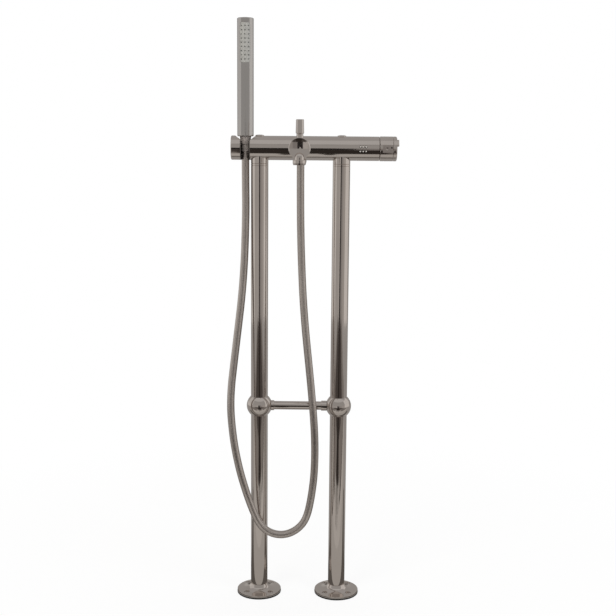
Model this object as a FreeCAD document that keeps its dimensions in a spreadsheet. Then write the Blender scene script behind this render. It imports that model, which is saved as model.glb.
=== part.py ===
import FreeCAD, Part
import math
import os
import re
import Sketcher

Vector = FreeCAD.Vector
Rotation = FreeCAD.Rotation

# Floor standing bath filler: a thermostatic bar on two floor pipes, with a spout,
# a pull-up diverter and a handset on a hose.
# Frame: origin on the floor midway between the two pipes, +Z up, spout towards -Y,
# handles towards +X, handset towards -X.  All sizes in millimetres.

os.makedirs("parts", exist_ok=True)
doc = FreeCAD.newDocument("bath_filler")

# ---- driving dimensions -------------------------------------------------------

driving = {
    # clearances
    "seat_gap": 0.1,          # between pieces that are screwed or pressed together
    "run_gap": 0.3,           # between pieces that move past each other
    "fine_bevel": 0.4,        # small broken edges
    "edge_bevel": 0.6,        # larger broken edges
    # stand
    "supply_centres": 150,    # hot and cold supply spacing
    "axis_height": 855,       # bar axis above the floor
    "brace_height": 372,      # ball centres above the floor
    "pipe_dia": 32,
    "pipe_wall": 2,
    "ball_dia": 48,
    "ball_web": 10,           # half height of the solid middle between the pipe sockets
    "gasket": 1.5,            # thickness of flat gaskets
    "brace_dia": 16,
    "brace_collar_dia": 19,
    "brace_socket": 9,        # depth of the brace rod in the ball
    "collar_overlap": 1.6,    # collar behind the ball's outermost point
    "left_collar_reach": 4,   # length of collar seen outside the left ball
    "right_collar_reach": 9,
    "flange_dia": 84,
    "flange_brim": 4,
    "flange_height": 18,
    "flange_rim_lip": 0.8,
    "flange_step": 8,         # width of each of the two tapers nearest the pipe
    "flange_upper": 3,        # fall of the upper taper and of the middle one
    "flange_middle": 4.5,
    "screw_circle": 64,
    "screw_hole_dia": 5.5,
    "screw_seat_dia": 10,
    "screw_seat_height": 3,
    "screw_count": 4,
    "inlet_dia": 18.6,        # threaded inlet in the foot of each pipe
    "inlet_depth": 20,
    # bar
    "bar_dia": 44,
    "left_shoulder": 8.5,     # left pipe's axis to the bar's left end
    "right_shoulder": 68.5,   # right pipe's axis to the bar's right end
    "bar_bevel": 0.6,
    "chamber_dia": 26,
    "end_wall": 6,
    "cartridge_dia": 34,
    "cartridge_depth": 58,
    "nose_length": 6,         # narrow nose of the cartridge in the chamber
    "nose_wall": 2,           # room round the nose
    "port_rise": 9,           # bar axis to the inner end of the ports
    "supply_port_dia": 14,
    "supply_nipple_bore": 9.5,
    "spout_port_dia": 24,
    "spout_nipple_bore": 19,
    "valve_dia": 19,
    "union_drop": 28.2,       # bar axis to the foot of the union collar
    "union_ring": 4.2,
    "nipple_tail": 16,        # length of nipple inside the pipe
    "valve_inset": 2,         # non-return cartridge below the pipe's top
    "valve_wall": 2,
    "valve_cup": 6,           # depth of the hollow in its top
    "plug_head_dia": 16,
    "plug_stem_dia": 12,
    "plug_seat": 20.4,        # bar axis to the flat under a plug head
    "plug_rise": 24,          # bar axis to the top of a plug's dome
    "plug_crown": 1.6,        # height of the dome
    "plug_crown_step": 1.2,   # height of its steeper rim
    # handset holder
    "holder_length": 43.5,
    "holder_bevel": 1,
    "slot_reach": 26,         # left pipe's axis to the handset's axis
    "stud_dia": 6,
    "stud_reach": 5,          # stud length in the bar and in the holder
    "nest_dia": 38,           # round recess round the liner's mouth
    "nest_floor": 13,         # bar axis to the floor of the recess
    "liner_wall": 1.2,
    "slot_width": 15.6,       # inside the liner
    # right end
    "handle_dia": 44.8,
    "handle_length": 23.9,
    "handle_gap": 0.8,        # between the bar and the temperature handle
    "handle_cup": 7.7,        # depth of the hollow that hides the stop ring
    "handle_cup_dia": 39,
    "flow_length": 6.6,
    "flow_gap": 0.5,
    "flow_round": 2,          # rounding of its outer edge, cut as two tapers
    "flow_wall": 2.5,
    "tab_reach": 10,          # lever tab past the flow handle's inner face
    "tab_width": 12,
    "tab_thickness": 4,
    "tab_inset": 0.2,         # tab's outer face inside the handle's
    "tab_bevel": 1,
    "tab_angle": 32,          # above the horizontal, at the front
    "sleeve_dia": 15,
    "spindle_dia": 8,
    "neck_dia": 26,           # cartridge neck in the nut and the stop ring
    "nut_length": 6,
    "sleeve_grip": 4,         # sleeve past the nut, in the cartridge
    "spindle_inset": 1,       # spindle's end inside the sleeve's
    "stop_ring_dia": 36,
    "stop_ring_width": 5,
    "flat_depth": 1.1,        # finger flat on the temperature handle
    "flat_width": 19.2,
    "button_dia": 6,
    "button_offset": 12.2,    # handle's left face to the button's axis
    "button_proud": 0.8,
    "button_length": 8,
    "spring_room": 3.2,       # between the button at rest and the well's floor
    "spring_wire": 0.5,
    "spring_turns": 2,
    # spout
    "spout_dia": 37.4,
    "spout_bore": 31,
    "spout_length": 147,      # bar axis to the closed end
    "spout_end_wall": 5,
    "spout_dish": 2,          # depth of the hollow in the closed end
    "spout_socket": 34,       # bar axis to the foot of the nipple socket
    "spout_edge": 1.2,
    "outlet_inset": 3,        # outlet axis behind the closed end
    "outlet_dia": 17,
    "outlet_bore": 12,
    "link_dia": 6,            # way from the spout's bore into the outlet neck
    "link_length": 14,
    "outlet_top": 6.8,        # bar axis down to the crown of the outlet neck
    "outlet_drop": 24,        # bar axis down to the foot of the outlet neck
    "aerator_dia": 22.7,
    "aerator_foot_dia": 20.6,
    "aerator_top": 19.3,      # bar axis down to the aerator's upper face
    "aerator_height": 8.7,
    "aerator_lip": 1.2,
    "aerator_taper": 3,
    "insert_height": 2.8,
    "insert_holes": 8,
    "insert_hole_dia": 2.4,
    "insert_hole_circle": 10.4,
    # diverter
    "knob_offset": 108,       # bar axis forward to the knob's axis
    "knob_top_dia": 13.6,
    "knob_foot_dia": 14.6,
    "knob_height": 24.5,
    "knob_bevel": 1.2,
    "bush_dia": 12,
    "bush_top": 24.6,         # bar axis to the top of the guide bush
    "bush_foot": 14,
    "stem_dia": 8,
    "stem_grip": 6,           # stem inside the knob
    "stem_foot": 8,           # bar axis down to the foot of the stem
    "disc_dia": 22,
    "disc_height": 3,
    "seal_height": 1.6,
    # hose
    "hose_dia": 14,
    "hose_nut_dia": 21.6,
    "hose_nut_foot_dia": 17.4,
    "hose_nut_top": 19.6,     # bar axis down to the nut's upper face
    "hose_nut_height": 10.4,
    "hose_nut_floor": 3,
    "outlet_nipple_dia": 18,
    "outlet_nipple_bore": 10,
    # handset
    "handset_dia": 30,
    "handset_length": 211,
    "handset_foot": 20.7,     # bar axis to the handset's lower face
    "handset_wall": 2,
    "handset_bevel": 1.2,
    "handset_floor": 5,
    "cone_height": 14.7,
    "cone_top_dia": 21,
    "cone_foot_dia": 16,
    "ferrule_dia": 14.8,
    "ferrule_height": 11.7,
    "swivel_dia": 9,
    "swivel_head_dia": 12.6,
    "swivel_head": 2,
    "spigot_dia": 14,
    "spigot_height": 8,
    "spigot_bore": 8,
    "cap_height": 4,
    "cap_dome": 1.4,
    "cap_bevel": 1,
    "cap_plug": 3,            # depth of the cap inside the body
    "spray_width": 18,
    "spray_height": 70,
    "spray_drop": 10,         # top of the handset to the top of the spray face
    "spray_corner": 4,
    "spray_inset": 0.4,
    "spray_plate": 3,         # thickness at the crown
    "nozzle_columns": 3,
    "nozzle_rows": 9,
    "nozzle_pitch_x": 6.2,
    "nozzle_pitch_z": 7.3,
    "nozzle_dia": 2.4,
    "nozzle_tip_dia": 1.7,
    "nozzle_proud": 0.9,
    "nozzle_root": 2,         # nozzle's length before it is cut back to the face
    "core_skirt": 6,          # core below the spray face
    "tube_dia": 11,
    "tube_bore": 8,
}

# ---- sizes worked out from the driving ones --------------------------------------

derived = {
    "bar_radius": "bar_dia / 2",
    "pipe_radius": "pipe_dia / 2",
    "pipe_bore": "pipe_radius - pipe_wall",
    "half_centres": "supply_centres / 2",
    "bar_left": "half_centres + left_shoulder",
    "bar_right": "half_centres + right_shoulder",
    "slot_offset": "half_centres + slot_reach",
    "ball_radius": "ball_dia / 2",
    "socket_radius": "pipe_radius + seat_gap",
    "ball_mouth": "sqrt(ball_radius ^ 2 - socket_radius ^ 2)",
    "pipe_stop": "ball_web + gasket",
    "union_foot": "axis_height - union_drop",
    "ring_foot": "union_foot - union_ring",
    "supply_port": "supply_port_dia / 2",
    "spout_port": "spout_port_dia / 2",
    "cap_edge": "handset_radius - cap_bevel",
    "holder_right": "-bar_left",
    "holder_left": "-bar_left - holder_length",
    "cone_foot": "axis_height + handset_foot - cone_height",
    "cone_taper": "(cone_top_dia - cone_foot_dia) / 2 / cone_height",
    "liner_top": "axis_height + nest_floor",
    "liner_top_radius": "cone_foot_dia / 2 + cone_taper * (liner_top - cone_foot) + run_gap",
    "liner_radius": "cone_foot_dia / 2 + run_gap",
    "liner_outer": "liner_top_radius + liner_wall",
    "handle_left": "bar_right + handle_gap",
    "handle_right": "handle_left + handle_length",
    "handle_radius": "handle_dia / 2",
    "cup_floor": "handle_left + handle_cup",
    "flow_left": "handle_right + flow_gap",
    "flow_right": "flow_left + flow_length",
    "neck_radius": "neck_dia / 2",
    "nut_left": "bar_right - nut_length",
    "neck_right": "handle_left + handle_cup - run_gap",
    "sleeve_left": "nut_left - sleeve_grip",
    "spindle_left": "sleeve_left + spindle_inset",
    "spindle_right": "flow_right - flow_wall",
    "button_x": "handle_left + button_offset",
    "flat_radius": "handle_radius - flat_depth",
    "button_foot": "flat_radius + button_proud - button_length",
    "button_floor": "button_foot - spring_room",
    "spout_radius": "spout_dia / 2",
    "dish_edge": "spout_radius - spout_edge",
    "outlet_y": "spout_length - outlet_inset",
    "aerator_foot": "aerator_top + aerator_height",
    "knob_foot": "bush_top + run_gap",
    "hose_top": "axis_height - hose_nut_top - hose_nut_height",
    "handset_low": "axis_height + handset_foot",
    "handset_high": "handset_low + handset_length",
    "handset_radius": "handset_dia / 2",
    "handset_bore": "handset_radius - handset_wall",
    "cap_low": "handset_high - cap_height",
    "spray_high": "handset_high - spray_drop",
    "spray_low": "spray_high - spray_height",
    "spray_radius": "handset_radius - spray_inset",
    "core_low": "spray_low - core_skirt",
    "spigot_low": "handset_low - spigot_height",
    "ferrule_low": "cone_foot - seat_gap - ferrule_height",
}

# The hose hangs as one loop: from the outlet under the bar down in front of the
# brace, round in front of the left pipe, and up outside it to the handset.
hose_route = [
    (0, 0, 825),
    (0, 0, 760),
    (2, -4, 665),
    (8, -16, 550),
    (23, -31, 415),
    (31, -37, 325),
    (31, -39, 255),
    (25, -40, 202),
    (16, -41, 161),
    (-2, -41, 139.5),
    (-26.5, -42, 129.5),
    (-52.5, -42, 133.5),
    (-72.5, -42, 150.5),
    (-86, -42, 180),
    (-99, -42, 218),
    (-112, -40, 263),
    (-123, -36, 320),
    (-129, -28, 390),
    (-119, -18, 480),
    (-104, -7, 610),
    (-100, -2, 735),
    (-101, 0, 800),
    (-101, 0, 849.1),
]

sheet = doc.addObject("Spreadsheet::Sheet", "size")
for row, (alias, amount) in enumerate(driving.items(), 1):
    sheet.set(f"A{row}", alias)
    sheet.set(f"B{row}", str(amount))
    sheet.setAlias(f"B{row}", alias)
doc.recompute()


def formula(text):
    """An expression with every named size turned into its cell in the sheet."""
    def named(match):
        word = match.group(0)
        if word in driving:
            return "size." + word
        if word in derived:
            return "(" + formula(derived[word]) + ")"
        return word
    return re.sub(r"[a-z_][a-z_0-9]*", named, str(text))


def value(text):
    return float(sheet.evalExpression(formula(text)))


def bind(thing, setting, text):
    thing.setExpression(setting, formula(text))


def place(thing, at, rotation=None):
    if rotation is not None:
        thing.Placement = FreeCAD.Placement(Vector(), rotation)
    for letter, text in zip("xyz", at):
        bind(thing, f"Placement.Base.{letter}", text)


# ---- ways of making a piece -------------------------------------------------------

turns = {
    "x": Rotation(Vector(0, 0, 1), Vector(1, 0, 0)),
    "y": Rotation(Vector(0, 0, 1), Vector(0, 1, 0)),
    "z": Rotation(),
}


def rod(name, radius, low, high, along="z", at=("0", "0", "0")):
    """A round bar from low to high along one axis."""
    piece = doc.addObject("Part::Cylinder", name)
    bind(piece, "Radius", radius)
    bind(piece, "Height", f"({high}) - ({low})")
    start = list(at)
    index = "xyz".index(along)
    start[index] = f"({at[index]}) + ({low})"
    place(piece, start, turns[along])
    return piece


def block(name, low, high):
    """A box between two corners."""
    piece = doc.addObject("Part::Box", name)
    for setting, start, end in zip(("Length", "Width", "Height"), low, high):
        bind(piece, setting, f"({end}) - ({start})")
    place(piece, low)
    return piece


def cut(name, base, *tools):
    piece = doc.addObject("Part::Cut", name)
    piece.Base = base
    piece.Tool = tools[0] if len(tools) == 1 else fuse(name + "_tools", *tools)
    return piece


def fuse(name, *shapes):
    piece = doc.addObject("Part::MultiFuse", name)
    piece.Shapes = list(shapes)
    return piece


def common(name, base, tool):
    piece = doc.addObject("Part::Common", name)
    piece.Base = base
    piece.Tool = tool
    return piece


def origin_feature(body, role):
    return next(item for item in body.Origin.OriginFeatures if item.Role == role)


def pinned_outline(body, name, plane, corners):
    """A closed sketch. A corner is (across, up) or (across, up, radius) for an arc to
    the next corner, bulging outwards to the right of the way it runs, or to the left
    with a negative radius. Every corner is tied to the sheet."""
    sketch = body.newObject("Sketcher::SketchObject", name)
    sketch.AttachmentSupport = [(origin_feature(body, plane), "")]
    sketch.MapMode = "FlatFace"
    points = [Vector(value(c[0]), value(c[1]), 0) for c in corners]
    lines = []
    for number, corner in enumerate(corners):
        start = points[number]
        end = points[(number + 1) % len(points)]
        if len(corner) == 2:
            lines.append(Part.LineSegment(start, end))
            continue
        radius = value(corner[2])
        half = (end - start) * 0.5
        side = Vector(half.y, -half.x, 0).normalize() * math.copysign(1, radius)
        rise = abs(radius) - math.sqrt(radius ** 2 - half.Length ** 2)
        lines.append(Part.Arc(start, start + half + side * rise, end))
    sketch.addGeometry(lines, False)
    ends = []
    for number, start in enumerate(points):
        forward = sketch.getPoint(number, 1).distanceToPoint(start) < 1e-6
        ends.append((1, 2) if forward else (2, 1))
    rules = []
    sizes = []
    for number, corner in enumerate(corners):
        after = (number + 1) % len(corners)
        rules.append(Sketcher.Constraint("Coincident", number, ends[number][1], after, ends[after][0]))
        for kind, axis, text in (("DistanceX", -2, corner[0]), ("DistanceY", -1, corner[1])):
            if str(text) == "0":
                rules.append(Sketcher.Constraint("PointOnObject", number, ends[number][0], axis))
                continue
            sizes.append((len(rules), text))
            rules.append(Sketcher.Constraint(kind, -1, 1, number, ends[number][0], value(text)))
        if len(corner) == 3:
            sizes.append((len(rules), f"abs({corner[2]})"))
            rules.append(Sketcher.Constraint("Radius", number, abs(value(corner[2]))))
    sketch.addConstraint(rules)
    for index, text in sizes:
        sketch.renameConstraint(index, f"size_{index}")
        bind(sketch, f"Constraints.size_{index}", text)
    return sketch


def turned(name, along, at, profile):
    """A piece turned on a lathe. The profile's corners are (station along the axis,
    radius) with the arc radius third where there is one."""
    body = doc.addObject("PartDesign::Body", name)
    if along == "z":
        corners = [(corner[1], corner[0]) + tuple(corner[2:]) for corner in profile]
        sketch = pinned_outline(body, name + "_profile", "XZ_Plane", corners)
        axis = "V_Axis"
    else:
        plane = "XZ_Plane" if along == "x" else "YZ_Plane"
        sketch = pinned_outline(body, name + "_profile", plane, profile)
        axis = "H_Axis"
    spin = body.newObject("PartDesign::Revolution", name + "_turning")
    spin.Profile = sketch
    spin.ReferenceAxis = (sketch, [axis])
    spin.Angle = 360
    sketch.Visibility = False
    place(body, at)
    return body


kept = []


def keep(piece, node):
    piece.Label = node
    kept.append(piece)


# ---- the bar ---------------------------------------------------------------------

on_axis = ("0", "0", "axis_height")
at_slot = ("-slot_offset", "0", "0")


def bar_saddle(name):
    """The bar's and holder's outside with the clearance of what is fitted to it."""
    return rod(name, "bar_radius + seat_gap", "holder_left", "bar_right", "x", on_axis)


def nest(name):
    """The round recess that the handset stands over, let into the holder and, by a
    sliver, into the bar's end beside it."""
    return rod(name, "nest_dia / 2", "liner_top", "axis_height + bar_radius + 1", "z", at_slot)


def make_valve_body():
    shell = turned("bar_turning", "x", on_axis, [
        ("-bar_left", "0"),
        ("-bar_left", "bar_radius"),
        ("bar_right - bar_bevel", "bar_radius"),
        ("bar_right", "bar_radius - bar_bevel"),
        ("bar_right", "cartridge_dia / 2"),
        ("bar_right - cartridge_depth", "cartridge_dia / 2"),
        ("bar_right - cartridge_depth", "chamber_dia / 2"),
        ("end_wall - bar_left", "chamber_dia / 2"),
        ("end_wall - bar_left", "0"),
    ])
    ports = [rod("stud_port", "stud_dia / 2 + seat_gap", "-bar_left - 1", "stud_reach - bar_left",
                 "x", on_axis)]
    outside = "bar_radius + 1"
    for side, sign in (("left", "-"), ("right", "+")):
        at = (f"0 {sign} half_centres", "0", "axis_height")
        ports.append(rod(side + "_supply_way", "supply_port", f"-({outside})", "-port_rise", "z", at))
        ports.append(rod(side + "_plug_way", "plug_stem_dia / 2 + seat_gap", "port_rise", outside, "z", at))
        ports.append(rod(side + "_plug_seat", "plug_head_dia / 2 + seat_gap", "plug_seat", outside,
                         "z", at))
    ports.append(rod("spout_way", "spout_port", f"-({outside})", "-port_rise", "y", on_axis))
    ports.append(rod("hose_way", "outlet_nipple_dia / 2 + seat_gap", f"-({outside})", "-port_rise",
                     "z", on_axis))
    ports.append(rod("hose_seat", "hose_nut_dia / 2 + seat_gap", f"-({outside})",
                     "seat_gap - hose_nut_top", "z", on_axis))
    keep(cut("valve_ports", shell, nest("bar_nest"), *ports), "valve_body")


def make_plug(side, sign):
    """A screwed plug with a low domed head over each supply."""
    keep(turned(side + "_plug_turning", "z", (f"0 {sign} half_centres", "0", "axis_height"), [
        ("chamber_dia / 2", "0"),
        ("chamber_dia / 2", "plug_stem_dia / 2"),
        ("plug_seat", "plug_stem_dia / 2"),
        ("plug_seat", "plug_head_dia / 2"),
        ("plug_rise - plug_crown", "plug_head_dia / 2"),
        ("plug_rise - plug_crown + plug_crown_step", "plug_head_dia / 4"),
        ("plug_rise", "0"),
    ]), side + "_plug")


# ---- handset holder on the left end -------------------------------------------------

def keyhole(name, radius, half_width, low, high):
    """An upright round hole that opens to the front through a slot."""
    hole = rod(name + "_round", radius, low, high, "z", at_slot)
    slot = block(name + "_slot", (f"-slot_offset - ({half_width})", "-bar_radius - 2", low),
                 (f"-slot_offset + ({half_width})", "0", high))
    return fuse(name, hole, slot)


def make_holder():
    barrel = turned("holder_barrel", "x", on_axis, [
        ("holder_left", "0"),
        ("holder_left", "bar_radius - holder_bevel"),
        ("holder_left + holder_bevel", "bar_radius"),
        ("holder_right", "bar_radius"),
        ("holder_right", "0"),
    ])
    stud_hole = rod("holder_stud_hole", "stud_dia / 2 + seat_gap", "holder_right - stud_reach",
                    "holder_right + 1", "x", on_axis)
    way = keyhole("holder_keyhole", "liner_outer", "slot_width / 2 + liner_wall",
                  "axis_height - bar_radius - 1", "axis_height + bar_radius + 1")
    keep(cut("holder_cutting", barrel, stud_hole, nest("holder_nest"), way), "handset_holder")


def make_liner():
    """A plastic sleeve, open to the front, with the taper that holds the hose cone."""
    outer = keyhole("liner_outside", "liner_outer - seat_gap", "slot_width / 2 + liner_wall - seat_gap",
                    "axis_height - bar_radius - 1", "liner_top")
    envelope = rod("liner_envelope", "bar_radius", "holder_left", "holder_right", "x", on_axis)
    taper = turned("liner_taper", "z", at_slot, [
        ("axis_height - bar_radius - 2", "0"),
        ("axis_height - bar_radius - 2", "liner_radius"),
        ("cone_foot", "liner_radius"),
        ("liner_top", "liner_top_radius"),
        ("liner_top + 1", "liner_top_radius"),
        ("liner_top + 1", "0"),
    ])
    slot = block("liner_slot",
                 ("-slot_offset - slot_width / 2", "-bar_radius - 3", "axis_height - bar_radius - 2"),
                 ("-slot_offset + slot_width / 2", "0", "liner_top + 1"))
    keep(cut("liner_cutting", common("liner_trimming", outer, envelope), taper, slot), "holder_liner")


def make_stud():
    keep(turned("stud_turning", "x", on_axis, [
        ("holder_right - stud_reach + run_gap", "0"),
        ("holder_right - stud_reach + run_gap", "stud_dia / 2"),
        ("holder_right + stud_reach - run_gap", "stud_dia / 2"),
        ("holder_right + stud_reach - run_gap", "0"),
    ]), "holder_stud")


# ---- cartridge and handles on the right end -------------------------------------------

def make_cartridge():
    keep(turned("cartridge_turning", "x", on_axis, [
        ("bar_right - cartridge_depth", "0"),
        ("bar_right - cartridge_depth", "chamber_dia / 2 - nose_wall"),
        ("bar_right - cartridge_depth + nose_length", "chamber_dia / 2 - nose_wall"),
        ("bar_right - cartridge_depth + nose_length", "cartridge_dia / 2 - seat_gap"),
        ("nut_left", "cartridge_dia / 2 - seat_gap"),
        ("nut_left", "neck_radius"),
        ("neck_right", "neck_radius"),
        ("neck_right", "sleeve_dia / 2 + run_gap"),
        ("sleeve_left - run_gap", "sleeve_dia / 2 + run_gap"),
        ("sleeve_left - run_gap", "0"),
    ]), "thermostatic_cartridge")
    keep(turned("cartridge_nut_turning", "x", on_axis, [
        ("nut_left", "neck_radius + seat_gap"),
        ("nut_left", "cartridge_dia / 2 - seat_gap"),
        ("bar_right - seat_gap", "cartridge_dia / 2 - seat_gap"),
        ("bar_right - seat_gap", "neck_radius + seat_gap"),
    ]), "cartridge_nut")
    keep(turned("stop_ring_turning", "x", on_axis, [
        ("handle_left", "neck_radius + seat_gap"),
        ("handle_left", "stop_ring_dia / 2"),
        ("handle_left + stop_ring_width", "stop_ring_dia / 2"),
        ("handle_left + stop_ring_width", "neck_radius + seat_gap"),
    ]), "stop_ring")


def make_temperature_handle():
    knob = turned("temperature_turning", "x", on_axis, [
        ("handle_left", "handle_cup_dia / 2"),
        ("handle_left", "handle_radius - edge_bevel"),
        ("handle_left + edge_bevel", "handle_radius"),
        ("handle_right - fine_bevel", "handle_radius"),
        ("handle_right", "handle_radius - fine_bevel"),
        ("handle_right", "sleeve_dia / 2 + seat_gap"),
        ("cup_floor", "sleeve_dia / 2 + seat_gap"),
        ("cup_floor", "handle_cup_dia / 2"),
    ])
    flat = block("finger_flat",
                 ("handle_right - flat_width", "-handle_radius - 1", "axis_height - handle_radius"),
                 ("handle_right + 1", "-flat_radius", "axis_height + handle_radius"))
    well = rod("button_well", "button_dia / 2 + run_gap", "-handle_radius", "-button_floor",
               "y", ("button_x", "0", "axis_height"))
    keep(cut("temperature_cutting", knob, flat, well), "temperature_handle")
    keep(turned("sleeve_turning", "x", on_axis, [
        ("sleeve_left", "spindle_dia / 2 + run_gap"),
        ("sleeve_left", "sleeve_dia / 2"),
        ("handle_right - run_gap", "sleeve_dia / 2"),
        ("handle_right - run_gap", "spindle_dia / 2 + run_gap"),
    ]), "temperature_sleeve")


def make_override_button():
    keep(turned("button_turning", "y", ("button_x", "0", "axis_height"), [
        ("-button_foot", "0"),
        ("-button_foot", "button_dia / 2"),
        ("-flat_radius - button_proud + fine_bevel", "button_dia / 2"),
        ("-flat_radius - button_proud", "button_dia / 2 - fine_bevel"),
        ("-flat_radius - button_proud", "0"),
    ]), "override_button")


def make_button_spring():
    """A round-wire coil between the button's foot and the floor of its well, wound in
    quarter turns."""
    wire = value("spring_wire") / 2
    radius = value("button_dia") / 2 - 2 * wire - value("seat_gap")
    length = value("spring_room") - 2 * wire - 2 * value("seat_gap")
    steps = int(4 * value("spring_turns"))

    def on_coil(step):
        angle = math.pi / 2 * step
        return Vector(radius * math.cos(angle), radius * math.sin(angle), length * step / steps)

    arcs = [Part.Arc(on_coil(n), on_coil(n + 0.5), on_coil(n + 1)).toShape() for n in range(steps)]
    section = Part.Wire(Part.makeCircle(wire, on_coil(0), Vector(0, 1, 0)))
    spring = doc.addObject("Part::Feature", "spring_coil")
    spring.Shape = Part.Wire(arcs).makePipeShell([section], True, False)
    foot = -value("button_foot") + wire + value("seat_gap")
    spring.Placement = FreeCAD.Placement(Vector(value("button_x"), foot, value("axis_height")), turns["y"])
    keep(spring, "button_spring")


def make_flow_handle():
    disc = turned("flow_turning", "x", on_axis, [
        ("flow_left", "spindle_dia / 2 + seat_gap"),
        ("flow_left", "handle_radius - fine_bevel"),
        ("flow_left + fine_bevel", "handle_radius"),
        ("flow_right - flow_round", "handle_radius"),
        ("flow_right - flow_round * 0.3", "handle_radius - flow_round * 0.3"),
        ("flow_right", "handle_radius - flow_round"),
        ("flow_right", "0"),
        ("spindle_right", "0"),
        ("spindle_right", "spindle_dia / 2 + seat_gap"),
    ])
    tab = turned("tab_round", "x", on_axis, [
        ("flow_left + tab_bevel", "handle_radius - tab_thickness"),
        ("flow_left + tab_bevel", "handle_radius - tab_inset"),
        ("flow_left + tab_reach - tab_bevel", "handle_radius - tab_inset"),
        ("flow_left + tab_reach", "handle_radius - tab_inset - tab_bevel"),
        ("flow_left + tab_reach", "handle_radius - tab_thickness + tab_bevel"),
        ("flow_left + tab_reach - tab_bevel", "handle_radius - tab_thickness"),
    ])
    wedge = block("tab_wedge", ("flow_left", "-handle_radius - 1", "-tab_width / 2"),
                  ("flow_left + tab_reach + 1", "0", "tab_width / 2"))
    wedge.Placement = FreeCAD.Placement(Vector(), Rotation(Vector(1, 0, 0), -value("tab_angle")))
    shift_y = "-(handle_radius + 1) * cos(tab_angle) - tab_width / 2 * sin(tab_angle)"
    shift_z = "axis_height + (handle_radius + 1) * sin(tab_angle) - tab_width / 2 * cos(tab_angle)"
    place(wedge, ("flow_left", shift_y, shift_z))
    keep(fuse("flow_joining", disc, common("tab_cutting", tab, wedge)), "flow_handle")
    keep(turned("spindle_turning", "x", on_axis, [
        ("spindle_left", "0"),
        ("spindle_left", "spindle_dia / 2"),
        ("spindle_right", "spindle_dia / 2"),
        ("spindle_right", "0"),
    ]), "flow_spindle")


# ---- spout, aerator and diverter -------------------------------------------------------

at_outlet = ("0", "-outlet_y", "axis_height")
at_knob = ("0", "-knob_offset", "axis_height")


def make_spout():
    tube = turned("spout_turning", "y", on_axis, [
        ("0", "spout_port"),
        ("-spout_socket", "spout_port"),
        ("-spout_socket", "spout_bore / 2"),
        ("spout_end_wall - spout_length", "spout_bore / 2"),
        ("spout_end_wall - spout_length", "0"),
        ("spout_dish - spout_length", "0", "(dish_edge ^ 2 + spout_dish ^ 2) / (2 * spout_dish)"),
        ("-spout_length", "dish_edge"),
        ("spout_edge - spout_length", "spout_radius"),
        ("0", "spout_radius"),
    ])
    neck = turned("outlet_neck", "z", at_outlet, [
        ("-outlet_drop", "0"),
        ("-outlet_drop", "outlet_dia / 2"),
        ("-outlet_top - outlet_dia / 2", "outlet_dia / 2", "outlet_dia / 2"),
        ("-outlet_top", "0"),
    ])
    joined = fuse("spout_joining", tube, neck)
    outlet_way = rod("outlet_way", "outlet_bore / 2", "-outlet_drop - 1", "-outlet_top - outlet_dia / 2",
                     "z", at_outlet)
    link = rod("outlet_link", "link_dia / 2", "-outlet_y", "-outlet_y + link_length", "y",
               ("0", "0", "axis_height - spout_bore / 2 + link_dia / 2"))
    stem_way = rod("stem_way", "bush_dia / 2 + seat_gap", "0", "spout_radius + 1", "z", at_knob)
    keep(cut("spout_cutting", joined, bar_saddle("spout_saddle"), outlet_way, link, stem_way), "spout")
    keep(turned("spout_nipple_turning", "y", on_axis, [
        ("-chamber_dia / 2", "spout_nipple_bore / 2"),
        ("-chamber_dia / 2", "spout_port - seat_gap"),
        ("-spout_socket", "spout_port - seat_gap"),
        ("-spout_socket", "spout_nipple_bore / 2"),
    ]), "spout_nipple")


def make_aerator():
    keep(turned("aerator_turning", "z", at_outlet, [
        ("-aerator_top", "outlet_dia / 2 + seat_gap"),
        ("-aerator_top", "aerator_dia / 2 - edge_bevel"),
        ("-aerator_top - edge_bevel", "aerator_dia / 2"),
        ("-aerator_foot + aerator_taper", "aerator_dia / 2"),
        ("-aerator_foot", "aerator_foot_dia / 2"),
        ("-aerator_foot", "outlet_dia / 2 - aerator_lip"),
        ("-aerator_foot + aerator_lip", "outlet_dia / 2 - aerator_lip"),
        ("-aerator_foot + aerator_lip", "outlet_dia / 2 + seat_gap"),
    ]), "aerator_housing")
    insert = turned("aerator_insert_turning", "z", at_outlet, [
        ("-aerator_foot + aerator_lip", "0"),
        ("-aerator_foot + aerator_lip", "outlet_dia / 2"),
        ("-aerator_foot + aerator_lip + insert_height", "outlet_dia / 2"),
        ("-aerator_foot + aerator_lip + insert_height", "0"),
    ])
    drill = insert.newObject("Sketcher::SketchObject", "insert_hole")
    drill.AttachmentSupport = [(origin_feature(insert, "XY_Plane"), "")]
    drill.MapMode = "FlatFace"
    bind(drill, "AttachmentOffset.Base.z", "-aerator_foot + aerator_lip + insert_height")
    drill.addGeometry(Part.Circle(Vector(5, 0, 0), Vector(0, 0, 1), 1), False)
    drill.addConstraint([Sketcher.Constraint("PointOnObject", 0, 3, -1),
                         Sketcher.Constraint("DistanceX", -1, 1, 0, 3, 5.0),
                         Sketcher.Constraint("Radius", 0, 1.0)])
    drill.renameConstraint(1, "ring")
    drill.renameConstraint(2, "hole")
    bind(drill, "Constraints.ring", "insert_hole_circle / 2")
    bind(drill, "Constraints.hole", "insert_hole_dia / 2")
    hole = insert.newObject("PartDesign::Pocket", "insert_drilling")
    hole.Profile = drill
    hole.Type = "ThroughAll"
    repeat = insert.newObject("PartDesign::PolarPattern", "insert_holes_round")
    repeat.Originals = [hole]
    repeat.Axis = (drill, ["N_Axis"])
    repeat.Angle = 360
    bind(repeat, "Occurrences", "insert_holes")
    insert.Tip = repeat
    drill.Visibility = False
    keep(insert, "aerator_insert")


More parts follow.
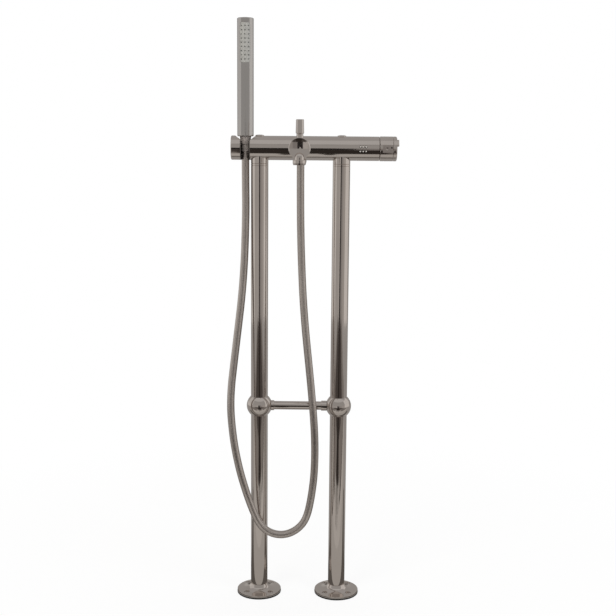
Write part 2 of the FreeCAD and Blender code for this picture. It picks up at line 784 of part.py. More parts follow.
def make_diverter():
    keep(turned("bush_turning", "z", at_knob, [
        ("bush_foot", "stem_dia / 2 + run_gap"),
        ("bush_foot", "bush_dia / 2"),
        ("bush_top - fine_bevel", "bush_dia / 2"),
        ("bush_top", "bush_dia / 2 - fine_bevel"),
        ("bush_top", "stem_dia / 2 + run_gap"),
    ]), "diverter_bush")
    keep(turned("knob_turning", "z", at_knob, [
        ("knob_foot + stem_grip", "0"),
        ("knob_foot + stem_grip", "stem_dia / 2 + seat_gap"),
        ("knob_foot", "stem_dia / 2 + seat_gap"),
        ("knob_foot", "knob_foot_dia / 2 - knob_bevel"),
        ("knob_foot + knob_bevel", "knob_foot_dia / 2"),
        ("knob_foot + knob_height - edge_bevel", "knob_top_dia / 2"),
        ("knob_foot + knob_height", "knob_top_dia / 2 - edge_bevel"),
        ("knob_foot + knob_height", "0"),
    ]), "diverter_knob")
    keep(turned("stem_turning", "z", at_knob, [
        ("-stem_foot", "0"),
        ("-stem_foot", "stem_dia / 2"),
        ("knob_foot + stem_grip", "stem_dia / 2"),
        ("knob_foot + stem_grip", "0"),
    ]), "diverter_stem")
    keep(turned("disc_turning", "z", at_knob, [
        ("-stem_foot", "stem_dia / 2 + seat_gap"),
        ("-stem_foot", "disc_dia / 2"),
        ("-stem_foot + disc_height", "disc_dia / 2"),
        ("-stem_foot + disc_height", "stem_dia / 2 + seat_gap"),
    ]), "diverter_disc")
    keep(turned("seal_turning", "z", at_knob, [
        ("-stem_foot - seal_height", "0"),
        ("-stem_foot - seal_height", "disc_dia / 2 - edge_bevel"),
        ("-stem_foot", "disc_dia / 2 - edge_bevel"),
        ("-stem_foot", "0"),
    ]), "diverter_seal")


# ---- hose --------------------------------------------------------------------------------

def make_hose_fittings():
    keep(turned("hose_outlet_turning", "z", on_axis, [
        ("-chamber_dia / 2", "outlet_nipple_bore / 2"),
        ("-chamber_dia / 2", "outlet_nipple_dia / 2"),
        ("-hose_nut_top - hose_nut_height + hose_nut_floor + seat_gap", "outlet_nipple_dia / 2"),
        ("-hose_nut_top - hose_nut_height + hose_nut_floor + seat_gap", "outlet_nipple_bore / 2"),
    ]), "hose_outlet")
    keep(turned("hose_nut_turning", "z", on_axis, [
        ("-hose_nut_top", "outlet_nipple_dia / 2 + seat_gap"),
        ("-hose_nut_top", "hose_nut_dia / 2"),
        ("-hose_nut_top - hose_nut_height / 2", "hose_nut_dia / 2"),
        ("-hose_nut_top - hose_nut_height", "hose_nut_foot_dia / 2"),
        ("-hose_nut_top - hose_nut_height", "outlet_nipple_bore / 2"),
        ("-hose_nut_top - hose_nut_height + hose_nut_floor", "outlet_nipple_bore / 2"),
        ("-hose_nut_top - hose_nut_height + hose_nut_floor", "outlet_nipple_dia / 2 + seat_gap"),
    ]), "hose_nut")


def make_hose():
    """One tube along the route: straight runs joined by tangent arcs, each arc as
    large as its two runs allow."""
    points = [Vector(*point) for point in hose_route]
    points[0].z = value("hose_top")
    points[-1] = Vector(-value("slot_offset"), 0, value("ferrule_low"))
    points[-2].x = -value("slot_offset")
    share = 0.45
    edges = []
    radii = []
    start = points[0]
    for before, corner, after in zip(points, points[1:], points[2:]):
        inward = (corner - before).normalize()
        outward = (after - corner).normalize()
        reach = share * min((corner - before).Length, (after - corner).Length)
        turn = inward.getAngle(outward)
        radius = reach / math.tan(turn / 2)
        radii.append(radius)
        first = corner - inward * reach
        last = corner + outward * reach
        across = (outward - inward).normalize()
        sag = radius * (1 / math.cos(turn / 2) - 1)
        edges.append(Part.LineSegment(start, first).toShape())
        edges.append(Part.Arc(first, corner + across * sag, last).toShape())
        start = last
    edges.append(Part.LineSegment(start, points[-1]).toShape())
    path = Part.Wire(edges)
    section = Part.Wire(Part.makeCircle(value("hose_dia") / 2, points[0], Vector(0, 0, -1)))
    hose = doc.addObject("Part::Feature", "hose_sweep")
    hose.Shape = path.makePipeShell([section], True, False)
    print("hose radii", [round(radius) for radius in radii])
    print("hose length", round(path.Length, 1), "volume over section times length",
          round(hose.Shape.Volume / (math.pi * value("hose_dia") ** 2 / 4 * path.Length), 5))
    keep(hose, "shower_hose")


def make_ferrule():
    """The crimped end of the hose with its swivel stem."""
    keep(turned("ferrule_turning", "z", at_slot, [
        ("ferrule_low", "0"),
        ("ferrule_low", "ferrule_dia / 2 - fine_bevel"),
        ("ferrule_low + fine_bevel", "ferrule_dia / 2"),
        ("cone_foot - run_gap - edge_bevel", "ferrule_dia / 2"),
        ("cone_foot - run_gap", "ferrule_dia / 2 - edge_bevel"),
        ("cone_foot - run_gap", "swivel_dia / 2"),
        ("spigot_low - gasket - run_gap - swivel_head", "swivel_dia / 2"),
        ("spigot_low - gasket - run_gap - swivel_head", "swivel_head_dia / 2"),
        ("spigot_low - gasket - run_gap", "swivel_head_dia / 2"),
        ("spigot_low - gasket - run_gap", "0"),
    ]), "hose_ferrule")


# ---- handset ---------------------------------------------------------------------------

def make_handset():
    keep(turned("cone_turning", "z", at_slot, [
        ("cone_foot", "swivel_dia / 2 + run_gap"),
        ("cone_foot", "cone_foot_dia / 2"),
        ("handset_low", "cone_top_dia / 2"),
        ("handset_low", "spigot_dia / 2 + seat_gap"),
        ("spigot_low - gasket - swivel_head - 2 * run_gap", "spigot_dia / 2 + seat_gap"),
        ("spigot_low - gasket - swivel_head - 2 * run_gap", "swivel_dia / 2 + run_gap"),
    ]), "hose_cone")
    keep(turned("washer_turning", "z", at_slot, [
        ("spigot_low - gasket", "spigot_bore / 2"),
        ("spigot_low - gasket", "spigot_dia / 2 - seat_gap"),
        ("spigot_low", "spigot_dia / 2 - seat_gap"),
        ("spigot_low", "spigot_bore / 2"),
    ]), "handset_washer")
    shell = turned("handset_turning", "z", at_slot, [
        ("spigot_low", "spigot_bore / 2"),
        ("spigot_low", "spigot_dia / 2"),
        ("handset_low", "spigot_dia / 2"),
        ("handset_low", "handset_radius - handset_bevel"),
        ("handset_low + handset_bevel", "handset_radius"),
        ("cap_low", "handset_radius"),
        ("cap_low", "handset_bore"),
        ("handset_low + handset_floor", "handset_bore"),
        ("handset_low + handset_floor", "tube_dia / 2 + seat_gap"),
        ("handset_low", "tube_dia / 2 + seat_gap"),
        ("handset_low", "spigot_bore / 2"),
    ])
    window = spray_prism("spray_window", "0", "-handset_radius - 1", "0")
    keep(cut("handset_cutting", shell, window), "handset_body")
    keep(turned("handset_cap_turning", "z", at_slot, [
        ("cap_low - cap_plug", "0"),
        ("cap_low - cap_plug", "handset_bore - seat_gap"),
        ("cap_low", "handset_bore - seat_gap"),
        ("cap_low", "handset_radius"),
        ("handset_high - cap_dome - cap_bevel", "handset_radius"),
        ("handset_high - cap_dome", "cap_edge"),
        ("handset_high - cap_dome / 3", "cap_edge / 2"),
        ("handset_high", "0"),
    ]), "handset_cap")
    core = turned("core_turning", "z", at_slot, [
        ("core_low", "0"),
        ("core_low", "handset_bore - seat_gap"),
        ("cap_low - cap_plug", "handset_bore - seat_gap"),
        ("cap_low - cap_plug", "0"),
    ])
    face = block("core_face", ("-slot_offset - handset_radius", "-handset_radius - 1", "core_low - 1"),
                 ("-slot_offset + handset_radius", "-spray_radius + spray_plate", "cap_low + 1"))
    keep(cut("core_cutting", core, face), "handset_core")
    keep(turned("tube_turning", "z", at_slot, [
        ("handset_low", "tube_bore / 2"),
        ("handset_low", "tube_dia / 2"),
        ("core_low", "tube_dia / 2"),
        ("core_low", "tube_bore / 2"),
    ]), "handset_tube")


def spray_prism(name, inset, front, back):
    """The round-cornered outline of the spray face, run from front to back."""
    body = doc.addObject("PartDesign::Body", name)
    half = f"(spray_width / 2 - {inset})"
    corner = f"(spray_corner - {inset})"
    low = f"(spray_low + {inset})"
    high = f"(spray_high - {inset})"
    sketch = pinned_outline(body, name + "_outline", "XZ_Plane", [
        (f"-{half} + {corner}", low),
        (f"{half} - {corner}", low, corner),
        (half, f"{low} + {corner}"),
        (half, f"{high} - {corner}", corner),
        (f"{half} - {corner}", high),
        (f"-{half} + {corner}", high, corner),
        (f"-{half}", f"{high} - {corner}"),
        (f"-{half}", f"{low} + {corner}", corner),
    ])
    pad = body.newObject("PartDesign::Pad", name + "_pad")
    pad.Profile = sketch
    bind(pad, "Length", f"({back}) - ({front})")
    sketch.Visibility = False
    place(body, ("-slot_offset", back, "0"))
    return body


def make_spray_face():
    plate = spray_prism("spray_plate_outline", "seat_gap", "-handset_radius - 1",
                        "spray_plate - spray_radius")
    round_face = rod("spray_round", "spray_radius", "spray_low", "spray_high", "z", at_slot)
    keep(common("spray_cutting", plate, round_face), "spray_face")


def ring_of_eight(middle, radius):
    """An upright eight-sided outline that faces the front."""
    corners = []
    for number in range(9):
        angle = math.pi / 4 * (number % 8 + 0.5)
        corners.append(middle + Vector(radius * math.cos(angle), 0, radius * math.sin(angle)))
    return Part.makePolygon(corners)


def make_nozzles():
    """Rows of soft nozzles that stand a little proud of the curved spray face."""
    surface = value("spray_radius")
    middle = (value("spray_low") + value("spray_high")) / 2
    columns = int(value("nozzle_columns"))
    rows = int(value("nozzle_rows"))
    axis_x = -value("slot_offset")
    round_face = Part.makeCylinder(surface, value("spray_height"), Vector(axis_x, 0, value("spray_low")))
    nozzles = []
    for column in range(columns):
        offset = (column - (columns - 1) / 2) * value("nozzle_pitch_x")
        depth = math.sqrt(surface ** 2 - offset ** 2)
        for row in range(rows):
            height = middle + (row - (rows - 1) / 2) * value("nozzle_pitch_z")
            foot = Vector(axis_x + offset, value("nozzle_root") - depth, height)
            tip = Vector(axis_x + offset, -depth - value("nozzle_proud"), height)
            wide = ring_of_eight(foot, value("nozzle_dia") / 2)
            narrow = ring_of_eight(tip, value("nozzle_tip_dia") / 2)
            nozzles.append(Part.makeLoft([wide, narrow], True).cut(round_face))
    group = doc.addObject("Part::Feature", "nozzle_group")
    group.Shape = Part.makeCompound(nozzles)
    keep(group, "spray_nozzles")


# ---- stand ---------------------------------------------------------------------------------

def make_supply(side, sign):
    """What joins one pipe to the bar."""
    at = (f"0 {sign} half_centres", "0", "0")
    collar = turned(side + "_union_turning", "z", at, [
        ("union_foot", "supply_port"),
        ("union_foot", "pipe_radius - fine_bevel"),
        ("union_foot + fine_bevel", "pipe_radius"),
        ("axis_height", "pipe_radius"),
        ("axis_height", "supply_port"),
    ])
    keep(cut(side + "_union_cutting", collar, bar_saddle(side + "_saddle")), side + "_union")
    keep(turned(side + "_ring_turning", "z", at, [
        ("ring_foot", "supply_port"),
        ("ring_foot", "pipe_radius - edge_bevel"),
        ("ring_foot + edge_bevel", "pipe_radius"),
        ("union_foot - edge_bevel", "pipe_radius"),
        ("union_foot", "pipe_radius - edge_bevel"),
        ("union_foot", "supply_port"),
    ]), side + "_union_ring")
    keep(turned(side + "_nipple_turning", "z", at, [
        ("axis_height - chamber_dia / 2", "supply_nipple_bore / 2"),
        ("axis_height - chamber_dia / 2", "supply_port - seat_gap"),
        ("ring_foot", "supply_port - seat_gap"),
        ("ring_foot", "pipe_bore - seat_gap"),
        ("ring_foot - nipple_tail", "pipe_bore - seat_gap"),
        ("ring_foot - nipple_tail", "valve_dia / 2"),
        ("ring_foot - valve_inset", "valve_dia / 2"),
        ("ring_foot - valve_inset", "supply_nipple_bore / 2"),
    ]), side + "_nipple")
    keep(turned(side + "_valve_turning", "z", at, [
        ("ring_foot - nipple_tail", "0"),
        ("ring_foot - nipple_tail", "valve_dia / 2 - seat_gap"),
        ("ring_foot - valve_inset", "valve_dia / 2 - seat_gap"),
        ("ring_foot - valve_inset", "valve_dia / 2 - valve_wall"),
        ("ring_foot - valve_inset - valve_cup", "valve_dia / 2 - valve_wall - 1"),
        ("ring_foot - valve_inset - valve_cup", "0"),
    ]), side + "_check_valve")


def make_pipe(node, side, sign, low, high):
    keep(turned(node + "_turning", "z", (f"0 {sign} half_centres", "0", "0"), [
        (low, "pipe_bore"),
        (low, "pipe_radius"),
        (high, "pipe_radius"),
        (high, "pipe_bore"),
    ]), node)


def make_ball(side, sign):
    at = (f"0 {sign} half_centres", "0", "brace_height")
    ball = turned(side + "_ball_turning", "z", at, [
        ("-ball_web", "pipe_bore"),
        ("-ball_web", "socket_radius"),
        ("-ball_mouth", "socket_radius", "ball_radius"),
        ("ball_mouth", "socket_radius"),
        ("ball_web", "socket_radius"),
        ("ball_web", "pipe_bore"),
    ])
    inward = ("ball_radius - brace_socket", "ball_radius")
    if side == "right":
        inward = ("-ball_radius", "brace_socket - ball_radius")
    socket = rod(side + "_brace_socket", "brace_dia / 2 + seat_gap", *inward, "x", at)
    keep(cut(side + "_ball_cutting", ball, socket), side + "_ball")
    gaskets = []
    for place_name, low, high in (("upper", "ball_web", "pipe_stop"), ("lower", "-pipe_stop", "-ball_web")):
        gaskets.append(turned(f"{side}_{place_name}_gasket", "z", at, [
            (low, "pipe_bore"),
            (low, "pipe_radius"),
            (high, "pipe_radius"),
            (high, "pipe_bore"),
        ]))
    keep(fuse(side + "_gasket_pair", *gaskets), side + "_ball_gaskets")


def make_brace():
    reach = "half_centres - ball_radius + brace_socket - 2 * seat_gap"
    keep(turned("brace_turning", "x", ("0", "0", "brace_height"), [
        (f"-({reach})", "0"),
        (f"-({reach})", "brace_dia / 2"),
        (reach, "brace_dia / 2"),
        (reach, "0"),
    ]), "brace_rod")
    for side, sign in (("left", "-"), ("right", "+")):
        near = f"{sign}(half_centres - ball_radius + collar_overlap)"
        far = f"{sign}(half_centres - ball_radius - {side}_collar_reach)"
        bevel = f"{sign}(half_centres - ball_radius - {side}_collar_reach + edge_bevel)"
        collar = turned(side + "_collar_turning", "x", ("0", "0", "brace_height"), [
            (near, "brace_dia / 2 + seat_gap"),
            (near, "brace_collar_dia / 2"),
            (bevel, "brace_collar_dia / 2"),
            (far, "brace_collar_dia / 2 - edge_bevel"),
            (far, "brace_dia / 2 + seat_gap"),
        ])
        ball = doc.addObject("Part::Sphere", side + "_collar_ball")
        bind(ball, "Radius", "ball_radius + seat_gap")
        place(ball, (f"0 {sign} half_centres", "0", "brace_height"))
        keep(cut(side + "_collar_cutting", collar, ball), side + "_brace_collar")


def make_flange(side, sign):
    """A floor rose: a thin brim that swells in three tapers up to the pipe, with four
    screw holes that are let into them."""
    flange = turned(side + "_flange_turning", "z", (f"0 {sign} half_centres", "0", "0"), [
        ("0", "socket_radius"),
        ("0", "flange_dia / 2"),
        ("flange_brim - flange_rim_lip", "flange_dia / 2"),
        ("flange_brim", "flange_dia / 2 - flange_rim_lip"),
        ("flange_height - flange_upper - flange_middle", "pipe_radius + 1 + 2 * flange_step"),
        ("flange_height - flange_upper", "pipe_radius + 1 + flange_step"),
        ("flange_height", "pipe_radius + 1"),
        ("flange_height", "socket_radius"),
    ])
    drilling = []
    for name, dia, level in (("hole", "screw_hole_dia", "0"),
                             ("seat", "screw_seat_dia", "screw_seat_height")):
        sketch = flange.newObject("Sketcher::SketchObject", f"{side}_screw_{name}")
        sketch.AttachmentSupport = [(origin_feature(flange, "XY_Plane"), "")]
        sketch.MapMode = "FlatFace"
        bind(sketch, "AttachmentOffset.Base.z", level)
        sketch.addGeometry(Part.Circle(Vector(22, 22, 0), Vector(0, 0, 1), 2.5), False)
        sketch.addConstraint([Sketcher.Constraint("DistanceX", -1, 1, 0, 3, 22.0),
                              Sketcher.Constraint("DistanceY", -1, 1, 0, 3, 22.0),
                              Sketcher.Constraint("Radius", 0, 2.5)])
        for index, (label, text) in enumerate((("across", "screw_circle / 2 * cos(45)"),
                                               ("along", "screw_circle / 2 * sin(45)"),
                                               ("hole", f"{dia} / 2"))):
            sketch.renameConstraint(index, label)
            bind(sketch, "Constraints." + label, text)
        pocket = flange.newObject("PartDesign::Pocket", f"{side}_screw_{name}_drilling")
        pocket.Profile = sketch
        pocket.Type = "ThroughAll"
        pocket.Reversed = True
        sketch.Visibility = False
        drilling.append(pocket)
    repeat = flange.newObject("PartDesign::PolarPattern", side + "_screw_circle")
    repeat.Originals = drilling
    repeat.Axis = (origin_feature(flange, "Z_Axis"), [""])
    repeat.Angle = 360
    bind(repeat, "Occurrences", "screw_count")
    flange.Tip = repeat
    keep(flange, side + "_flange")


def make_inlet(side, sign):
    keep(turned(side + "_inlet_turning", "z", (f"0 {sign} half_centres", "0", "0"), [
        ("0", "inlet_dia / 2"),
        ("0", "pipe_bore - seat_gap"),
        ("inlet_depth", "pipe_bore - seat_gap"),
        ("inlet_depth", "inlet_dia / 2"),
    ]), side + "_inlet")


# ---- build ----------------------------------------------------------------------------------

make_valve_body()
make_holder()
make_liner()
make_stud()
make_cartridge()
make_temperature_handle()
make_override_button()
make_button_spring()
make_flow_handle()
make_spout()
make_aerator()
make_diverter()
make_hose_fittings()
make_hose()
make_ferrule()
make_handset()
make_spray_face()
make_nozzles()
make_brace()
for side, sign in (("left", "-"), ("right", "+")):
    make_plug(side, sign)
    make_supply(side, sign)
    make_pipe(side + "_riser", side, sign, "brace_height + pipe_stop", "ring_foot")
    make_ball(side, sign)
    make_pipe(side + "_leg", side, sign, "0", "brace_height - pipe_stop")
    make_flange(side, sign)
    make_inlet(side, sign)

doc.recompute()

for item in doc.Objects:
    if "Invalid" in item.State or "Error" in item.State:
        raise RuntimeError(f"{item.Name} failed: {item.State}")
for piece in kept:
    if piece.Shape.isNull() or not piece.Shape.isValid():
        raise RuntimeError(f"{piece.Label} has no valid shape")
    piece.Shape.exportStep(f"parts/{piece.Label}.step")
print(len(kept), "pieces written")
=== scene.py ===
import bpy
import bmesh
import math
from mathutils import Matrix, Vector


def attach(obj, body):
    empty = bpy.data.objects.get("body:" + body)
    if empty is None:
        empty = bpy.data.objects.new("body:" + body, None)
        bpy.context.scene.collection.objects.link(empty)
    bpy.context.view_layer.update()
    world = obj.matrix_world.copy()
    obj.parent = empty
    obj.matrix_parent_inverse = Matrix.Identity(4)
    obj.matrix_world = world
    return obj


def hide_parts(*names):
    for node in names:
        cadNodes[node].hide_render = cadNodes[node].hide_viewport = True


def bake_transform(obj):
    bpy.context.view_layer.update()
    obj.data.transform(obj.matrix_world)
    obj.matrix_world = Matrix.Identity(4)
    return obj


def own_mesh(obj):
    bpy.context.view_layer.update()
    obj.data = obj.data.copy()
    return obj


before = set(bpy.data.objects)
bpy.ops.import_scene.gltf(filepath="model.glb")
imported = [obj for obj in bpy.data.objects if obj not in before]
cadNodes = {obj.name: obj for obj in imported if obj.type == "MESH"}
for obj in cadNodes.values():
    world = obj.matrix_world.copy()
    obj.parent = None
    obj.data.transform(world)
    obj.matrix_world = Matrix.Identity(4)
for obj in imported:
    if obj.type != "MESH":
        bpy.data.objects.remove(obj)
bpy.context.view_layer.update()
scene = bpy.context.scene
print("frame loaded,", len(cadNodes), "pieces")

mmPerMetre = 1000
# the two floor pipes: name of the side, and place across
pipeSides = (("left", -0.075), ("right", 0.075))


# small helpers: colour, nodes, objects

def toLinear(hexText):
    channels = [int(hexText[i:i + 2], 16) / 255 for i in (1, 3, 5)]
    linear = [c / 12.92 if c <= 0.04045 else ((c + 0.055) / 1.055) ** 2.4 for c in channels]
    return (*linear, 1.0)


def aroundCircle(count):
    return [2 * math.pi * k / count for k in range(count)]


def addNode(tree, kind, links=None, **settings):
    node = tree.nodes.new(kind)
    for name, value in settings.items():
        setattr(node, name, value)
    for socket, source in (links or {}).items():
        if isinstance(source, bpy.types.NodeSocket):
            tree.links.new(source, node.inputs[socket])
        else:
            node.inputs[socket].default_value = source
    return node


def linkedObject(name, data):
    item = bpy.data.objects.new(name, data)
    scene.collection.objects.link(item)
    return item


def meshShownBy(item):
    # what a curve or a node tree makes, as a plain mesh; the object itself goes
    bpy.context.view_layer.update()
    shown = item.evaluated_get(bpy.context.evaluated_depsgraph_get())
    mesh = bpy.data.meshes.new_from_object(shown)
    bpy.data.objects.remove(item)
    return mesh


def smoothPiece(name, mesh, material, sharpDegrees=35):
    piece = linkedObject(name, mesh)
    mesh.materials.clear()
    mesh.materials.append(material)
    mesh.shade_smooth()
    mesh.set_sharp_from_angle(angle=math.radians(sharpDegrees))
    return piece


def ridingPiece(name, mesh, material, body, sharpDegrees=35):
    piece = smoothPiece(name, mesh, material, sharpDegrees)
    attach(piece, body)
    return piece


# materials; the sizes of their patterns are in metres

def startMaterial(name):
    material = bpy.data.materials.new(name)
    material.use_nodes = True
    tree = material.node_tree
    tree.nodes.clear()
    shader = addNode(tree, "ShaderNodeBsdfPrincipled")
    addNode(tree, "ShaderNodeOutputMaterial", {"Surface": shader.outputs[0]})
    return material, tree, shader


def cloudMask(tree, place, size, detail=3.0, squash=(1, 1, 1)):
    spread = addNode(tree, "ShaderNodeMapping", {"Vector": place, "Scale": squash})
    noise = addNode(tree, "ShaderNodeTexNoise",
                    {"Vector": spread.outputs[0], "Scale": 1 / size, "Detail": detail})
    return noise.outputs[0]


def dressShader(tree, shader, look, toneMask, smearMask, relief):
    # colour between dark and light, gloss and relief, each led by a pattern of its own
    tone = addNode(tree, "ShaderNodeMix",
                   {0: toneMask, 6: toLinear(look["dark"]), 7: toLinear(look["light"])},
                   data_type="RGBA")
    smear = addNode(tree, "ShaderNodeMapRange",
                    {0: smearMask, 3: look["roughness"] - look["spread"],
                     4: look["roughness"] + look["spread"]})
    bump = addNode(tree, "ShaderNodeBump",
                   {"Strength": 1.0, "Distance": look["relief"], "Height": relief})
    for socket, source in (("Base Color", tone.outputs[2]), ("Roughness", smear.outputs[0]),
                           ("Normal", bump.outputs[0])):
        tree.links.new(source, shader.inputs[socket])


def platedMetal(name, look):
    material, tree, shader = startMaterial(name)
    place = addNode(tree, "ShaderNodeTexCoord").outputs["Object"]
    buffing = cloudMask(tree, place, look["buffing"], detail=2.0, squash=look["grain"])
    waves = cloudMask(tree, place, look["waves"], detail=1.0)
    relief = addNode(tree, "ShaderNodeMath", {0: buffing, 1: look["buffingShare"], 2: waves},
                     operation="MULTIPLY_ADD")
    dressShader(tree, shader, look, cloudMask(tree, place, look["cloud"]),
                cloudMask(tree, place, look["smear"], detail=4.0), relief.outputs[0])
    shader.inputs["Metallic"].default_value = 1.0
    return material


def mouldedPlastic(name, look):
    material, tree, shader = startMaterial(name)
    place = addNode(tree, "ShaderNodeTexCoord").outputs["Object"]
    dressShader(tree, shader, look, cloudMask(tree, place, look["cloud"]),
                cloudMask(tree, place, look["cloud"] / 3, detail=4.0),
                cloudMask(tree, place, look["grit"], detail=2.0))
    shader.inputs["IOR"].default_value = look["ior"]
    return material


# Nickel plate over brass, buffed: warm grey, mirror-like, with a slight ripple left by the mop.
# The mop's lines are finer than a pixel, so they are drawn coarser, 0.9 mm apart.
nickelLook = {"dark": "#C9C1BB", "light": "#D8D0CA", "cloud": 0.09, "roughness": 0.07,
              "spread": 0.015, "smear": 0.02, "buffing": 0.0009, "grain": (1, 1, 0.06),
              "buffingShare": 0.004, "waves": 0.05, "relief": 0.00004}
polishedNickel = platedMetal("polishedNickelPlate", nickelLook)
# Enamel drops of the small dots: pale, glossy and smooth.
paleEnamel = mouldedPlastic("paleEnamelDrops", {
    "dark": "#AAA59F", "light": "#BDB8B2", "cloud": 0.003, "roughness": 0.16, "spread": 0.04,
    "grit": 0.0008, "relief": 0.00001, "ior": 1.52})
# The same plate on the drawn handset tube, finished a little softer.
satinNickel = platedMetal("softPolishedNickelTube", dict(
    nickelLook, dark="#C2BEBB", light="#CDCAC7", roughness=0.12, spread=0.03))
# Hose ferrule and cone, plastic under a lacquer tinted to the nickel: even grey, clear gloss.
tintedLacquer = mouldedPlastic("nickelTintedLacquer", {
    "dark": "#8F8782", "light": "#9F9792", "cloud": 0.005, "roughness": 0.2, "spread": 0.04,
    "grit": 0.0006, "relief": 0.00001, "ior": 1.5})
# Turned brass left bare inside the joints: yellow, with lathe lines that dull it.
turnedBrass = platedMetal("turnedBrass", dict(
    nickelLook, dark="#A98A4E", light="#BC9B5C", roughness=0.3, buffingShare=0.2))
# Stainless steel wire and bar, drawn: cooler grey, fairly dull.
drawnSteel = platedMetal("drawnStainlessSteel", dict(
    nickelLook, dark="#B9B9BA", light="#CACACC", roughness=0.32))
# Acetal, moulded black: deep and satin.
acetalLook = {"dark": "#0C0B0B", "light": "#161514", "cloud": 0.01, "roughness": 0.38,
              "spread": 0.06, "grit": 0.0006, "relief": 0.00002, "ior": 1.48}
blackAcetal = mouldedPlastic("blackAcetalMoulding", acetalLook)
# The same for the holder's sleeve, black acetal given a dark warm grey: painted light that lifts
# the shade deep inside its slot.
liftedSleeveAcetal = mouldedPlastic("sleeveAcetalPaintedLight", dict(
    acetalLook, dark="#4A4541", light="#5A5450"))
# Natural acetal of the parts inside: milky white.
whiteAcetal = mouldedPlastic("naturalAcetalMoulding", dict(
    acetalLook, dark="#C9C7C0", light="#DAD8D2", roughness=0.42, spread=0.05))
# Nitrile rubber, moulded: near black and matt.
nitrileRubber = mouldedPlastic("nitrileRubber", {
    "dark": "#121212", "light": "#1E1E1D", "cloud": 0.008, "roughness": 0.72, "spread": 0.08,
    "grit": 0.0004, "relief": 0.00003, "ior": 1.52})
# Silicone nozzles: soft, dark warm grey with a dull sheen.
nozzleSilicone = mouldedPlastic("nozzleSilicone", {
    "dark": "#565653", "light": "#6B6B67", "cloud": 0.004, "roughness": 0.5, "spread": 0.06,
    "grit": 0.0005, "relief": 0.00002, "ior": 1.41})
# Acrylonitrile spray plate, painted to sit quietly in the nickel: satin grey.
sprayPlate = mouldedPlastic("paintedSprayPlate", {
    "dark": "#9C9B96", "light": "#AEADA8", "cloud": 0.006, "roughness": 0.34, "spread": 0.05,
    "grit": 0.0005, "relief": 0.00001, "ior": 1.52})

# every solid is nickel plated but these
finishes = {
    satinNickel: ["handset_body", "handset_cap"],
    tintedLacquer: ["hose_ferrule", "hose_cone"],
    turnedBrass: ["cartridge_nut", "spout_nipple", "hose_outlet", "left_nipple", "right_nipple",
                  "temperature_sleeve", "diverter_disc", "left_inlet", "right_inlet",
                  "flow_spindle"],
    drawnSteel: ["button_spring", "holder_stud", "diverter_stem"],
    liftedSleeveAcetal: ["holder_liner"],
    whiteAcetal: ["thermostatic_cartridge", "stop_ring", "left_check_valve",
                  "right_check_valve", "aerator_insert", "handset_core", "handset_tube"],
    nitrileRubber: ["diverter_seal", "handset_washer", "left_ball_gaskets",
                    "right_ball_gaskets"],
    nozzleSilicone: ["spray_nozzles"],
    sprayPlate: ["spray_face"],
}
for node in cadNodes.values():
    node.data.materials.clear()
    node.data.materials.append(polishedNickel)
for material, names in finishes.items():
    for name in names:
        cadNodes[name].data.materials[0] = material
print("finishes given")


# shower hose: one hanging loop from under the bar to the handset; route in millimetres, the
# rest in metres

hoseSettings = {
    "diameter": 0.014, "rings": 620, "sides": 40, "stepsPerPoint": 24,
    "route": [(0, 0, 825), (0, 0, 760), (2, -4, 665), (8, -16, 550), (23, -31, 415),
              (31, -37, 325), (31, -39, 255), (25, -40, 202), (16, -41, 161), (-2, -41, 139.5),
              (-26.5, -42, 129.5), (-52.5, -42, 133.5), (-72.5, -42, 150.5), (-86, -42, 180),
              (-99, -42, 218), (-112, -40, 263), (-123, -36, 320), (-129, -28, 390),
              (-119, -18, 480), (-104, -7, 610), (-100, -2, 735), (-101, 0, 800),
              (-101, 0, 849.2)],
    "dark": "#ACA49E", "light": "#C6BEB8", "cloud": 0.05, "smear": 0.006, "roughness": 0.205,
    "spread": 0.035, "relief": 0.00006, "turnPitch": 0.0032, "turnShare": 0.5, "metallic": 0.92}


def hoseSkin(settings):
    # Metallised vinyl, extruded smooth over a wound core: satin grey with faint turns showing
    # through, drawn as far apart as they need to be to show.
    material, tree, shader = startMaterial("metallisedVinylHose")
    uv = addNode(tree, "ShaderNodeUVMap", uv_map="along")
    across = addNode(tree, "ShaderNodeSeparateXYZ", {0: uv.outputs[0]})
    turnsSoFar = addNode(tree, "ShaderNodeMath",
                         {0: across.outputs[1], 1: 1 / settings["turnPitch"],
                          2: across.outputs[0]}, operation="MULTIPLY_ADD")
    turns = addNode(tree, "ShaderNodeMath", {0: turnsSoFar.outputs[0], 1: 0.5},
                    operation="PINGPONG").outputs[0]
    place = addNode(tree, "ShaderNodeTexCoord").outputs["Object"]
    shade = addNode(tree, "ShaderNodeMath",
                    {0: turns, 1: settings["turnShare"],
                     2: cloudMask(tree, place, settings["cloud"])}, operation="MULTIPLY_ADD")
    dressShader(tree, shader, settings, shade.outputs[0],
                cloudMask(tree, place, settings["smear"], detail=4.0), turns)
    shader.inputs["Metallic"].default_value = settings["metallic"]
    return material


def drawnLine(settings):
    curve = bpy.data.curves.new("hoseLine", "CURVE")
    curve.dimensions = "3D"
    curve.resolution_u = settings["stepsPerPoint"]
    spline = curve.splines.new("NURBS")
    spline.points.add(len(settings["route"]) - 1)
    for point, corner in zip(spline.points, settings["route"]):
        point.co = (*(c / mmPerMetre for c in corner), 1)
    spline.order_u = 3
    spline.use_endpoint_u = True
    line = linkedObject("hoseLine", curve)
    return [vertex.co.copy() for vertex in meshShownBy(line).vertices]


def evenSteps(points, count):
    # the same line in even steps, and its length
    stations = [0.0]
    for before, after in zip(points, points[1:]):
        stations.append(stations[-1] + (after - before).length)
    total = stations[-1]
    path = []
    index = 0
    for number in range(count + 1):
        distance = total * number / count
        while index < len(stations) - 2 and stations[index + 1] < distance:
            index += 1
        share = (distance - stations[index]) / (stations[index + 1] - stations[index])
        path.append(points[index].lerp(points[index + 1], share))
    return path, total


